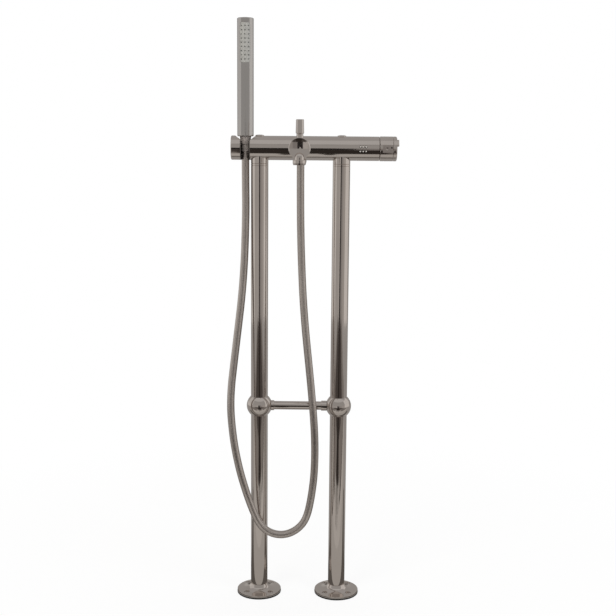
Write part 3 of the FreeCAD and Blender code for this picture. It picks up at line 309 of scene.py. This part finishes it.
def tubeMesh(name, path, total, radius, sides):
    # a closed tube; its UV map holds the share of the turn and the metres along
    shape = bmesh.new()
    uvLayer = shape.loops.layers.uv.new("along")
    side = Vector((1, 0, 0))
    rings = []
    for number, point in enumerate(path):
        ahead = path[min(number + 1, len(path) - 1)] - path[max(number - 1, 0)]
        ahead.normalize()
        side = (side - ahead * side.dot(ahead)).normalized()
        up = ahead.cross(side)
        rings.append([shape.verts.new(point + radius * (side * math.cos(a) + up * math.sin(a)))
                      for a in aroundCircle(sides)])
    step = total / (len(path) - 1)
    for number, (near, far) in enumerate(zip(rings, rings[1:])):
        for k in range(sides):
            after = (k + 1) % sides
            face = shape.faces.new((near[k], near[after], far[after], far[k]))
            corners = ((k, number), (k + 1, number), (k + 1, number + 1), (k, number + 1))
            for loop, (u, v) in zip(face.loops, corners):
                loop[uvLayer].uv = (u / sides, v * step)
    shape.faces.new(list(reversed(rings[0])))
    shape.faces.new(rings[-1])
    mesh = bpy.data.meshes.new(name)
    shape.to_mesh(mesh)
    shape.free()
    return mesh


def makeHose(settings):
    path, total = evenSteps(drawnLine(settings), settings["rings"])
    mesh = tubeMesh("showerHose", path, total, settings["diameter"] / 2, settings["sides"])
    hose = smoothPiece("showerHose", mesh, hoseSkin(settings))
    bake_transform(hose)
    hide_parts("shower_hose")
    print("hose made,", round(total, 4), "m")


makeHose(hoseSettings)


# turned pieces: floor roses and plugs; sizes are in millimetres, places in metres

def lathedMesh(name, profile, sides, closed=True):
    # corners are (radius, height); a radius of 0 closes the shape on its axis
    shape = bmesh.new()
    rings = []
    for radius, height in profile:
        reach, level = radius / mmPerMetre, height / mmPerMetre
        turns = aroundCircle(sides) if radius else [0.0]
        rings.append([shape.verts.new((reach * math.cos(a), reach * math.sin(a), level))
                      for a in turns])
    pairs = zip(rings, rings[1:] + rings[:1]) if closed else zip(rings, rings[1:])
    for low, high in pairs:
        for k in range(sides):
            corners = [low[k % len(low)], low[(k + 1) % len(low)],
                       high[(k + 1) % len(high)], high[k % len(high)]]
            corners = [v for number, v in enumerate(corners) if v not in corners[:number]]
            if len(corners) > 2:
                shape.faces.new(corners)
    bmesh.ops.recalc_face_normals(shape, faces=shape.faces)
    mesh = bpy.data.meshes.new(name)
    shape.to_mesh(mesh)
    shape.free()
    return mesh


def smoothThrough(points, steps):
    # a smooth line through the points, Catmull-Rom
    line = []
    padded = [points[0]] + points + [points[-1]]
    for a, b, c, d in zip(padded, padded[1:], padded[2:], padded[3:]):
        for number in range(steps):
            t = number / steps
            line.append(tuple(0.5 * (2 * q + (r - p) * t + (2 * p - 5 * q + 4 * r - u) * t * t
                                     + (3 * q - p - 3 * r + u) * t ** 3)
                              for p, q, r, u in zip(a, b, c, d)))
    return line + [points[-1]]


def newTree(name, sockets):
    tree = bpy.data.node_groups.new(name, "GeometryNodeTree")
    for way in ("INPUT", "OUTPUT"):
        tree.interface.new_socket("Geometry", in_out=way, socket_type="NodeSocketGeometry")
    keys = {label: tree.interface.new_socket(label, in_out="INPUT",
                                             socket_type="NodeSocket" + kind).identifier
            for label, kind in sockets.items()}
    return tree, addNode(tree, "NodeGroupInput").outputs, keys


def finishTree(tree, geometry, material):
    real = addNode(tree, "GeometryNodeRealizeInstances", {0: geometry})
    dressed = addNode(tree, "GeometryNodeSetMaterial", {"Geometry": real.outputs[0]})
    dressed.inputs["Material"].default_value = material
    addNode(tree, "NodeGroupOutput", {0: dressed.outputs[0]})


def grownMesh(name, tree, keys, values):
    # runs the tree once and keeps what it makes as a plain mesh
    carrier = linkedObject(name, bpy.data.meshes.new(name + "Seed"))
    modifier = carrier.modifiers.new("grow", "NODES")
    modifier.node_group = tree
    for label, value in values.items():
        modifier[keys[label]] = value
    mesh = meshShownBy(carrier)
    mesh.name = name
    return mesh


roseSizes = {"radius": 42, "bore": 16.1, "rim": 5.6, "rimRound": (0.15, 0.5), "sides": 128,
             "face": [(41.2, 6.4), (36, 6.9), (30, 7.7), (24.5, 9.6), (20, 12.8), (17, 18)],
             "faceSteps": 7, "sharpDegrees": 30,
             "footRing": [(38.5, 0), (42.1, 0), (42.4, 1.5), (42.1, 3), (38.5, 3)], "footRingGap": 0.02,
             "count": 4, "circle": 32, "seatRadius": 5, "seatFoot": 3, "holeRadius": 2.75,
             "cutterFoot": -1, "cutterTop": 20,
             "headRadius": 4.7, "headGap": 0.05, "headTop": 6.6, "headEdge": 0.3, "crown": 0.8,
             "crownLine": [(0.75, 0.45), (0.45, 0.8)], "screwSides": 40,
             "cross": (5.4, 1.1, 1.6), "seed": 5}


def roseBlanks(sizes):
    # the rose before it is drilled, a screw before its cross is cut, and the cutter of a seat
    gap = sizes["footRingGap"]
    inward, upward = sizes["rimRound"]
    edge = (sizes["radius"] - inward, sizes["rim"] + upward)
    ringRecess = [(radius, height + gap) for radius, height in reversed(sizes["footRing"][3:])]
    rose = [(sizes["bore"], 0), (sizes["footRing"][0][0] - gap, 0), *ringRecess,
            (sizes["radius"], sizes["rim"]),
            *smoothThrough([edge] + sizes["face"], sizes["faceSteps"]),
            (sizes["bore"], sizes["face"][-1][1])]
    head, top, bevel = sizes["headRadius"], sizes["headTop"], sizes["headEdge"]
    foot = sizes["seatFoot"] + sizes["headGap"]
    screw = [(0, foot), (head, foot), (head, top - bevel), (head - bevel, top),
             *((head * out, top + up * sizes["crown"]) for out, up in sizes["crownLine"]),
             (0, top + sizes["crown"])]
    low, high = sizes["cutterFoot"], sizes["cutterTop"]
    cutter = [(0, low), (sizes["holeRadius"], low), (sizes["holeRadius"], sizes["seatFoot"]),
              (sizes["seatRadius"], sizes["seatFoot"]), (sizes["seatRadius"], high), (0, high)]
    sides = sizes["screwSides"]
    return {"Rose": linkedObject("roseBlank", lathedMesh("roseBlank", rose, sizes["sides"])),
            "Screw": linkedObject("screwBlank", lathedMesh("screwBlank", screw, sides, False)),
            "Cutter": linkedObject("seatCutter", lathedMesh("seatCutter", cutter, sides, False))}


def roseTree(sizes):
    # seats are cut into the rose, and each holds a cross-headed screw, turned at random
    tree, given, keys = newTree("floorRose", {
        "Rose": "Object", "Screw": "Object", "Cutter": "Object", "Count": "Int",
        "Circle": "Float", "Seed": "Int", "Cross": "Vector", "Top": "Vector",
        "Place": "Vector"})
    shapes = {label: addNode(tree, "GeometryNodeObjectInfo",
                             {"Object": given[label]}).outputs["Geometry"]
              for label in ("Rose", "Screw", "Cutter")}
    ring = addNode(tree, "GeometryNodeMeshCircle",
                   {"Vertices": given["Count"], "Radius": given["Circle"]})
    turned = addNode(tree, "GeometryNodeTransform",
                     {"Geometry": ring.outputs[0], "Rotation": (0, 0, math.pi / sizes["count"])})
    seats = addNode(tree, "GeometryNodeInstanceOnPoints",
                    {"Points": turned.outputs[0], "Instance": shapes["Cutter"]})
    cutters = addNode(tree, "GeometryNodeRealizeInstances", {0: seats.outputs[0]})
    drilled = addNode(tree, "GeometryNodeMeshBoolean",
                      {"Mesh 1": shapes["Rose"], "Mesh 2": cutters.outputs[0]},
                      operation="DIFFERENCE")
    blade = addNode(tree, "GeometryNodeMeshCube", {"Size": given["Cross"]})
    lengthways = addNode(tree, "GeometryNodeTransform",
                         {"Geometry": blade.outputs[0], "Translation": given["Top"]})
    crossways = addNode(tree, "GeometryNodeTransform",
                        {"Geometry": lengthways.outputs[0], "Rotation": (0, 0, math.pi / 2)})
    screw = shapes["Screw"]
    for cut in (lengthways, crossways):
        screw = addNode(tree, "GeometryNodeMeshBoolean",
                        {"Mesh 1": screw, "Mesh 2": cut.outputs[0]},
                        operation="DIFFERENCE").outputs[0]
    spin = addNode(tree, "FunctionNodeRandomValue", {1: (0, 0, math.pi), "Seed": given["Seed"]},
                   data_type="FLOAT_VECTOR")
    screws = addNode(tree, "GeometryNodeInstanceOnPoints",
                     {"Points": turned.outputs[0], "Instance": screw,
                      "Rotation": spin.outputs[0]})
    both = addNode(tree, "GeometryNodeJoinGeometry")
    for part in (drilled, screws):
        tree.links.new(part.outputs[0], both.inputs[0])
    moved = addNode(tree, "GeometryNodeTransform",
                    {"Geometry": both.outputs[0], "Translation": given["Place"]})
    finishTree(tree, moved.outputs[0], polishedNickel)
    return tree, keys


def makeRoses(sizes):
    items = roseBlanks(sizes)
    tree, keys = roseTree(sizes)
    crossTop = (sizes["headTop"] + sizes["crown"]) / mmPerMetre
    for number, (side, across) in enumerate(pipeSides):
        values = dict(items, Count=sizes["count"], Circle=sizes["circle"] / mmPerMetre,
                      Seed=sizes["seed"] + number, Top=(0, 0, crossTop), Place=(across, 0, 0),
                      Cross=tuple(size / mmPerMetre for size in sizes["cross"]))
        mesh = grownMesh(side + "FloorRose", tree, keys, values)
        piece = ridingPiece(side + "FloorRose", mesh, polishedNickel, "stand",
                            sizes["sharpDegrees"])
        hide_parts(side + "_flange")
        # a black ring under the rim, which darkens the rose's foot along the floor
        mesh = lathedMesh(side + "RoseSeal", sizes["footRing"], sizes["sides"])
        mesh.transform(Matrix.Translation((across, 0, 0)))
        footRing = ridingPiece(side + "RoseSeal", mesh, nitrileRubber, "stand")
    for item in items.values():
        bpy.data.objects.remove(item)
    print("floor roses made")


makeRoses(roseSizes)

plugSizes = {"stem": 6, "head": 8, "foot": 868, "seat": 875.4, "rim": 877.1, "top": 879,
             "domeSteps": 12, "fullness": (0.7, 0.9), "sides": 64, "sharpDegrees": 40}


def makePlugs(sizes):
    rise = sizes["top"] - sizes["rim"]
    out, up = sizes["fullness"]
    angles = [math.pi / 2 * k / sizes["domeSteps"] for k in range(sizes["domeSteps"])]
    dome = [(sizes["head"] * math.cos(a) ** out, sizes["rim"] + rise * math.sin(a) ** up)
            for a in angles]
    profile = [(0, sizes["foot"]), (sizes["stem"], sizes["foot"]),
               (sizes["stem"], sizes["seat"]), (sizes["head"], sizes["seat"]), *dome,
               (0, sizes["top"])]
    for side, across in pipeSides:
        mesh = lathedMesh(side + "PlugDome", profile, sizes["sides"], closed=False)
        mesh.transform(Matrix.Translation((across, 0, 0)))
        piece = ridingPiece(side + "PlugDome", mesh, polishedNickel, "stand",
                            sizes["sharpDegrees"])
        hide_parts(side + "_plug")
    print("plugs made")


makePlugs(plugSizes)


# pieces that face the front: spray nozzles, the plain dots on the bar, button and a spot of
# painted shadow

def frontLathed(name, profile, sides, closed=False):
    mesh = lathedMesh(name, profile, sides, closed)
    mesh.transform(Matrix.Rotation(math.pi / 2, 4, "X"))
    return mesh


def fieldTree(name, upright, material):
    # a grid of items bent onto a cylinder that faces the front; upright where its axis is
    tree, given, keys = newTree(name, {
        "Columns": "Int", "Rows": "Int", "Across": "Float", "Up": "Float",
        "Radius": "Float", "Item": "Object", "Place": "Vector"})
    grid = addNode(tree, "GeometryNodeMeshGrid",
                   {"Size X": given["Across"], "Size Y": given["Up"],
                    "Vertices X": given["Columns"], "Vertices Y": given["Rows"]})
    flatPlace = addNode(tree, "GeometryNodeInputPosition")
    flat = addNode(tree, "ShaderNodeSeparateXYZ", {0: flatPlace.outputs[0]}).outputs
    ratio = addNode(tree, "ShaderNodeMath", {0: flat[0 if upright else 1], 1: given["Radius"]},
                    operation="DIVIDE")
    lean = addNode(tree, "ShaderNodeMath", {0: ratio.outputs[0]}, operation="ARCSINE")
    sunk = addNode(tree, "ShaderNodeMath", {0: lean.outputs[0]}, operation="COSINE")
    depth = addNode(tree, "ShaderNodeMath", {0: sunk.outputs[0], 1: given["Radius"]},
                    operation="MULTIPLY")
    front = addNode(tree, "ShaderNodeMath", {0: depth.outputs[0], 1: -1.0},
                    operation="MULTIPLY")
    spot = addNode(tree, "ShaderNodeCombineXYZ", {0: flat[0], 1: front.outputs[0], 2: flat[1]})
    turn = addNode(tree, "ShaderNodeMath", {0: lean.outputs[0], 1: 0.0 if upright else -1.0},
                   operation="MULTIPLY")
    turned = addNode(tree, "ShaderNodeCombineXYZ", {0: turn.outputs[0]})
    kept = addNode(tree, "GeometryNodeStoreNamedAttribute",
                   {"Geometry": grid.outputs[0], "Name": "lean", "Value": turned.outputs[0]},
                   data_type="FLOAT_VECTOR", domain="POINT")
    bent = addNode(tree, "GeometryNodeSetPosition",
                   {"Geometry": kept.outputs[0], "Position": spot.outputs[0]})
    shape = addNode(tree, "GeometryNodeObjectInfo", {"Object": given["Item"]})
    leaning = addNode(tree, "GeometryNodeInputNamedAttribute", {"Name": "lean"},
                      data_type="FLOAT_VECTOR")
    spread = addNode(tree, "GeometryNodeInstanceOnPoints",
                     {"Points": bent.outputs[0], "Instance": shape.outputs["Geometry"],
                      "Rotation": leaning.outputs[0]})
    moved = addNode(tree, "GeometryNodeTransform",
                    {"Geometry": spread.outputs[0], "Translation": given["Place"]})
    finishTree(tree, moved.outputs[0], material)
    return tree, keys


def roundField(name, sizes, item, material, body):
    tree, keys = fieldTree(name, sizes["upright"], material)
    blank = linkedObject(name + "Blank", item)
    across = (sizes["columns"] - 1) * sizes["pitchAcross"]
    up = (sizes["rows"] - 1) * sizes["pitchUp"]
    mesh = grownMesh(name, tree, keys, {
        "Columns": sizes["columns"], "Rows": sizes["rows"], "Across": across / mmPerMetre,
        "Up": up / mmPerMetre, "Radius": sizes["radius"] / mmPerMetre, "Item": blank,
        "Place": sizes["place"]})
    bpy.data.objects.remove(blank)
    return ridingPiece(name, mesh, material, body)


nozzleSizes = {"columns": 3, "rows": 9, "pitchAcross": 6.2, "pitchUp": 7.3, "radius": 14.6,
               "upright": True, "place": (-0.101, 0, 1.0417), "root": -0.5, "foot": 1.2,
               "skirt": 0.05, "waistShare": 0.84, "waist": 0.25, "tip": 0.78, "tipFlare": 0.08,
               "tipRound": (0.06, 0.15), "proud": 0.85, "hole": 0.38, "holeDepth": 0.6,
               "sides": 20}


def makeNozzles(sizes):
    foot, tip, proud, hole = (sizes[key] for key in ("foot", "tip", "proud", "hole"))
    inward, below = sizes["tipRound"]
    floor = proud - sizes["holeDepth"]
    profile = [(0, sizes["root"]), (foot, sizes["root"]), (foot, sizes["skirt"]),
               (foot * sizes["waistShare"], sizes["waist"]),
               (tip + sizes["tipFlare"], proud - below), (tip - inward, proud), (hole, proud),
               (hole, floor), (0, floor)]
    piece = roundField("sprayNozzles", sizes, frontLathed("nozzle", profile, sizes["sides"]),
                       nozzleSilicone, "handset")
    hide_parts("spray_nozzles")
    print("nozzles made")


makeNozzles(nozzleSizes)

dotSizes = {"columns": 3, "rows": 2, "pitchAcross": 5.2, "pitchUp": 8.0, "radius": 22.0,
            "upright": False, "place": (0.1135, 0, 0.8543), "root": -0.2, "face": 1.45,
            "faceRound": (0.15, 0.06), "crown": 0.05, "edge": 2.5, "proud": 0.2, "ring": 0.08,
            "sides": 28}


def makeDots(sizes):
    # plain round inlays, all alike, in thin black rings
    face, edge, root, proud, ring = (sizes[key] for key in ("face", "edge", "root", "proud",
                                                            "ring"))
    inward, below = sizes["faceRound"]
    drop = frontLathed("dot", [(0, root), (face, root), (face, proud - below),
                               (face - inward, proud), (0, proud + sizes["crown"])],
                       sizes["sides"])
    dots = roundField("barDots", sizes, drop, paleEnamel, "stand")
    hoop = frontLathed("dotRing", [(face, root), (edge, root), (edge, ring), (face, ring)],
                       sizes["sides"], closed=True)
    rings = roundField("barDotRings", sizes, hoop, blackAcetal, "stand")
    print("dots made")


makeDots(dotSizes)

buttonSizes = {"radius": 3, "foot": 14.1, "face": 22.1, "lip": 0.3, "dish": 0.6,
               "dishSteps": 8, "place": (0.1565, 0, 0.855), "sides": 40,
               "markRadius": 1.5, "markFoot": 21.1, "markFace": 21.38,
               "markRound": (0.1, 0.04), "markPlace": (0.1652, 0, 0.857)}


def makeButton(sizes):
    # the override button with a dished face, and a black disc on the flat beside it: a painted
    # shadow by the handle
    radius, lip, face = sizes["radius"], sizes["lip"], sizes["face"]
    outward = [1 - k / sizes["dishSteps"] for k in range(sizes["dishSteps"] + 1)]
    dish = [((radius - lip) * out, face - sizes["dish"] * (1 - out ** 2)) for out in outward]
    mesh = frontLathed("overrideButton", [(0, sizes["foot"]), (radius, sizes["foot"]),
                                          (radius, face - lip), *dish], sizes["sides"])
    mesh.transform(Matrix.Translation(sizes["place"]))
    button = ridingPiece("overrideButton", mesh, polishedNickel, "override_button")
    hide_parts("override_button")
    # a black disc where the handle's lever shades the flat: painted shadow
    radius, foot, face = sizes["markRadius"], sizes["markFoot"], sizes["markFace"]
    inward, below = sizes["markRound"]
    mesh = frontLathed("handleMark", [(0, foot), (radius, foot), (radius, face - below),
                                      (radius - inward, face), (0, face)], sizes["sides"])
    mesh.transform(Matrix.Translation(sizes["markPlace"]))
    mark = ridingPiece("handleMark", mesh, blackAcetal, "temperature_handle")
    print("button made")


makeButton(buttonSizes)

# the spring's sizes are in metres
springSizes = {"wire": 0.00025, "coil": 0.0024, "turns": 2.0, "length": 0.0025,
               "stepsPerTurn": 40, "wireSides": 16, "place": (0.1565, -0.01375, 0.855),
               "floor": (0.1565, -0.011, 0.855), "keptShare": 0.35, "sharpDegrees": 80}


def makeSpring(sizes):
    # the return spring behind the button
    tree, given, keys = newTree("returnSpring", {
        "Turns": "Float", "Steps": "Int", "Coil": "Float", "Length": "Float",
        "Wire": "Float", "Sides": "Int"})
    coil = addNode(tree, "GeometryNodeCurveSpiral",
                   {"Resolution": given["Steps"], "Rotations": given["Turns"],
                    "Start Radius": given["Coil"], "End Radius": given["Coil"],
                    "Height": given["Length"]})
    section = addNode(tree, "GeometryNodeCurvePrimitiveCircle",
                      {"Resolution": given["Sides"], "Radius": given["Wire"]})
    wound = addNode(tree, "GeometryNodeCurveToMesh",
                    {"Curve": coil.outputs[0], "Profile Curve": section.outputs[0],
                     "Fill Caps": True})
    finishTree(tree, wound.outputs[0], drawnSteel)
    mesh = grownMesh("buttonSpring", tree, keys, {
        "Turns": sizes["turns"], "Steps": sizes["stepsPerTurn"], "Coil": sizes["coil"],
        "Length": sizes["length"], "Wire": sizes["wire"], "Sides": sizes["wireSides"]})
    facingBack = Matrix.Rotation(math.radians(-90), 4, "X")
    mesh.transform(Matrix.Translation(sizes["place"]) @ facingBack)
    spring = ridingPiece("buttonSpring", mesh, drawnSteel, "temperature_handle",
                         sizes["sharpDegrees"])
    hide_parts("button_spring")
    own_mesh(spring)
    print("spring made")


makeSpring(springSizes)


# floor, screens and light, in metres and degrees

# the paper's grey tone in the metal is a painted reflection
studio = {"floorSize": 40.0, "floorTone": "#F4F4F3", "floorRoughness": 0.9,
          "paintedFloorReflection": "#A7A5A3", "glowNear": 0.86, "glowFar": 1.0, "nearReach": 0.18,
          "farReach": 1.1, "wallRadius": 3.2, "wallStep": 4, "benchLine": 0.87, "ceiling": 3.4,
          "worldTone": "#E8E8E8", "worldStrength": 0.55}


def stageObject(name, mesh, material):
    piece = linkedObject(name, mesh)
    mesh.materials.append(material)
    return piece


def meshOf(name, corners, faces):
    mesh = bpy.data.meshes.new(name)
    mesh.from_pydata(corners, [], faces)
    return mesh


def showInstead(tree, shader):
    out = next(n for n in tree.nodes if n.type == "OUTPUT_MATERIAL")
    tree.links.new(shader.outputs[0], out.inputs["Surface"])


def makeFloor():
    # white paper: it glows white to the camera, more so farther off, and keeps the shadow near
    # the object; in the metal it glows a flat grey instead, a painted reflection of the paper
    material, tree, shader = startMaterial("paleStudioPaper")
    shader.inputs["Base Color"].default_value = toLinear(studio["floorTone"])
    shader.inputs["Roughness"].default_value = studio["floorRoughness"]
    shader.inputs["Specular IOR Level"].default_value = 0.0
    path = addNode(tree, "ShaderNodeLightPath").outputs
    place = addNode(tree, "ShaderNodeTexCoord").outputs["Object"]
    reach = addNode(tree, "ShaderNodeVectorMath", {0: place}, operation="LENGTH")
    share = addNode(tree, "ShaderNodeMapRange",
                    {0: reach.outputs["Value"], 1: studio["nearReach"], 2: studio["farReach"],
                     3: studio["glowNear"], 4: studio["glowFar"]})
    forCamera = addNode(tree, "ShaderNodeMath", {0: share.outputs[0], 1: path["Is Camera Ray"]},
                        operation="MULTIPLY")
    white = addNode(tree, "ShaderNodeEmission", {"Color": (1, 1, 1, 1), "Strength": 1.0})
    # the grey glow for glossy rays: the paper's painted reflection
    grey = addNode(tree, "ShaderNodeEmission",
                   {"Color": toLinear(studio["paintedFloorReflection"]), "Strength": 1.0})
    lit = addNode(tree, "ShaderNodeMixShader",
                  {0: forCamera.outputs[0], 1: shader.outputs[0], 2: white.outputs[0]})
    showInstead(tree, addNode(tree, "ShaderNodeMixShader",
                              {0: path["Is Glossy Ray"], 1: lit.outputs[0],
                               2: grey.outputs[0]}))
    half = studio["floorSize"] / 2
    corners = [(-half, -half, 0), (half, -half, 0), (half, half, 0), (-half, half, 0)]
    stageObject("studioFloor", meshOf("studioFloor", corners, [(0, 1, 2, 3)]), material)


def metalBoard(name, corners, faces, tone):
    # a glowing board which only the metal shows: its tone is a painted reflection, the dark ones
    # painted shade
    material, tree, shader = startMaterial(name)
    showInstead(tree, addNode(tree, "ShaderNodeEmission",
                              {"Color": toLinear(tone), "Strength": 1.0}))
    board = stageObject(name, meshOf(name, corners, faces), material)
    board.visible_camera = False
    board.visible_diffuse = False
    board.visible_shadow = False
    board.visible_transmission = False


def flatBoard(name, left, right, front, back, height, tone, spread=0.0):
    # lies flat; its front edge is wider than its back one by the spread on each side
    corners = [(left - spread, front, height), (right + spread, front, height),
               (right, back, height), (left, back, height)]
    metalBoard(name, corners, [(0, 1, 2, 3)], tone)


def arcWall(name, fromDegrees, toDegrees, low, high, tone):
    # stands bent round the object; 0 degrees is towards the camera, + towards the right
    steps = max(2, int(abs(toDegrees - fromDegrees) / studio["wallStep"]))
    radius = studio["wallRadius"]
    corners = []
    for number in range(steps + 1):
        a = math.radians(fromDegrees + (toDegrees - fromDegrees) * number / steps)
        corners += [(radius * math.sin(a), -radius * math.cos(a), z) for z in (low, high)]
    faces = [(2 * n, 2 * n + 2, 2 * n + 3, 2 * n + 1) for n in range(steps)]
    metalBoard(name, corners, faces, tone)


def softLamp(name, place, aim, size, watts, tone):
    lamp = bpy.data.lights.new(name, "AREA")
    lamp.shape = "RECTANGLE"
    lamp.size, lamp.size_y = size
    lamp.energy = watts
    lamp.color = toLinear(tone)[:3]
    piece = linkedObject(name, lamp)
    piece.location = place
    piece.rotation_euler = (Vector(aim) - Vector(place)).to_track_quat("-Z", "Y").to_euler()
    piece.visible_glossy = False


makeFloor()

# painted reflections of what stands round the object, on glowing boards only the metal shows:
# pale screens at the sides, greyer ones in front and behind, and the dark camera stand with its
# painted shadow on the paper
bench, ceiling = studio["benchLine"], studio["ceiling"]
# name, from and to degrees, low and high edge, tone
walls = [("backLeftLow", -180, -130, 0.0, bench, "#B4B2AF"),
         ("leftLow", -130, -66, 0.0, bench, "#D9D7D4"),
         ("frontLeftLow", -66, -20, 0.0, bench, "#B0ADAA"),
         ("besideCameraLow", -20, -9, 0.0, bench, "#BCB8B5"),
         ("cameraStand", -9, 4, 0.0, bench, "#2E2B2A"),
         ("rightOfCameraLow", 4, 15, 0.0, bench, "#8C8886"),
         ("frontRightLow", 15, 30, 0.0, bench, "#A09C99"),
         ("rightFrontLow", 30, 58, 0.0, bench, "#AEAAA6"),
         ("rightLow", 58, 115, 0.0, bench, "#DCD9D6"),
         ("backRightLow", 115, 150, 0.0, bench, "#A3A09D"),
         ("backLow", 150, 180, 0.0, bench, "#AAA7A4"),
         ("frontHigh", -62, 62, bench, ceiling, "#A9A7A5"),
         ("leftHigh", -125, -62, bench, ceiling, "#CDCBC9"),
         ("rightHigh", 62, 125, bench, ceiling, "#DAD8D6"),
         ("backHigh", 125, 235, bench, ceiling, "#A8A6A4"),
         ("cornice", -60, 60, 2.85, 3.38, "#9C9A99")]
# every sheet is a painted reflection of the paper: the bright ones painted highlight, the edges,
# tips and the sheet under the object painted shade
# name, left, right, front, back, height, tone, and the front edge's spread
sheets = [("frontCeiling", -3.4, 3.4, -3.4, -0.45, ceiling, "#C3C2C1"),
          ("backCeiling", -3.4, 3.4, -0.45, 3.4, ceiling, "#AFADAC"),
          ("frontPaper", -1.7, 1.8, -3.2, -0.5, 0.003, "#86817D"),
          ("middlePaper", -1.25, 1.2, -3.2, -1.1, 0.004, "#504B48"),
          ("cameraShade", -0.19, 0.23, -3.2, -0.655, 0.005, "#342F2C", 0.15),
          ("leftPaperEdge", -1.5, -0.24, -0.52, -0.46, 0.007, "#45403C"),
          ("rightPaperEdge", 0.28, 1.5, -0.52, -0.46, 0.007, "#45403C"),
          ("leftShadeTip", -0.062, -0.042, -0.66, -0.35, 0.006, "#38332F", 0.014),
          ("rightShadeTip", 0.054, 0.074, -0.66, -0.35, 0.006, "#38332F", 0.014),
          ("brightPaper", -1.3, 1.3, -0.45, -0.24, 0.005, "#BFBCB8"),
          ("brightStrip", -0.34, 0.38, -0.66, -0.44, 0.0045, "#B2AFAB"),
          ("lightPaper", -1.3, 1.3, -0.45, -0.045, 0.004, "#B2AFAB"),
          ("underShade", -0.7, 0.7, -0.045, 0.12, 0.004, "#64605C")]
# name, place, what it points at, size, watts, tone
lamps = [("keyLamp", (-1.5, -2.2, 2.6), (0, 0, 0.6), (1.4, 1.4), 42, "#FFFBF6"),
         ("fillLamp", (2.0, -1.6, 1.7), (0, 0, 0.5), (1.2, 1.6), 22, "#F8FAFF"),
         ("topLamp", (0.2, 0.9, 3.0), (0, 0, 0.4), (2.0, 2.0), 30, "#FFFFFF")]
for wall in walls:
    arcWall(*wall)
for sheet in sheets:
    flatBoard(*sheet)
for lamp in lamps:
    softLamp(*lamp)
print("floor, screens and lamps ready")


def makeWorld():
    # soft grey light on everything, while the camera and the metal see white
    world = bpy.data.worlds.new("studioWorld")
    world.use_nodes = True
    scene.world = world
    tree = world.node_tree
    tree.nodes.clear()
    lit = addNode(tree, "ShaderNodeBackground",
                  {"Color": toLinear(studio["worldTone"]), "Strength": studio["worldStrength"]})
    seen = addNode(tree, "ShaderNodeBackground", {"Color": (1, 1, 1, 1), "Strength": 1.0})
    path = addNode(tree, "ShaderNodeLightPath").outputs
    shown = path["Is Camera Ray"]
    for ray in ("Is Glossy Ray", "Is Transmission Ray"):
        shown = addNode(tree, "ShaderNodeMath", {0: shown, 1: path[ray]},
                        operation="MAXIMUM").outputs[0]
    choice = addNode(tree, "ShaderNodeMixShader",
                     {0: shown, 1: lit.outputs[0], 2: seen.outputs[0]})
    addNode(tree, "ShaderNodeOutputWorld", {"Surface": choice.outputs[0]})


makeWorld()
scene.view_settings.view_transform = "Standard"


# camera, as the photograph was taken; the focal length is in pixels of the frame

view = {"place": (0.0284, -1.9423, 0.8609), "yaw": 0.374, "pitch": 8.824, "roll": 0.476,
        "focal": 1050.0, "frameWidth": 616, "sensor": 36.0}


def makeCamera():
    yaw, pitch, roll = (math.radians(view[k]) for k in ("yaw", "pitch", "roll"))
    up = Vector((0, 0, 1))
    level = Vector((-math.sin(yaw), math.cos(yaw), 0))
    right = Vector((math.cos(yaw), math.sin(yaw), 0))
    forward = level * math.cos(pitch) - up * math.sin(pitch)
    top = up * math.cos(pitch) + level * math.sin(pitch)
    tiltedRight = right * math.cos(roll) + top * math.sin(roll)
    tiltedTop = top * math.cos(roll) - right * math.sin(roll)
    data = bpy.data.cameras.new("photoCamera")
    data.sensor_width = view["sensor"]
    data.lens = view["focal"] * view["sensor"] / view["frameWidth"]
    camera = linkedObject("photoCamera", data)
    turn = Matrix((tiltedRight, tiltedTop, -forward)).transposed().to_4x4()
    camera.matrix_world = Matrix.Translation(Vector(view["place"])) @ turn
    scene.camera = camera


makeCamera()
print("stage and camera ready")
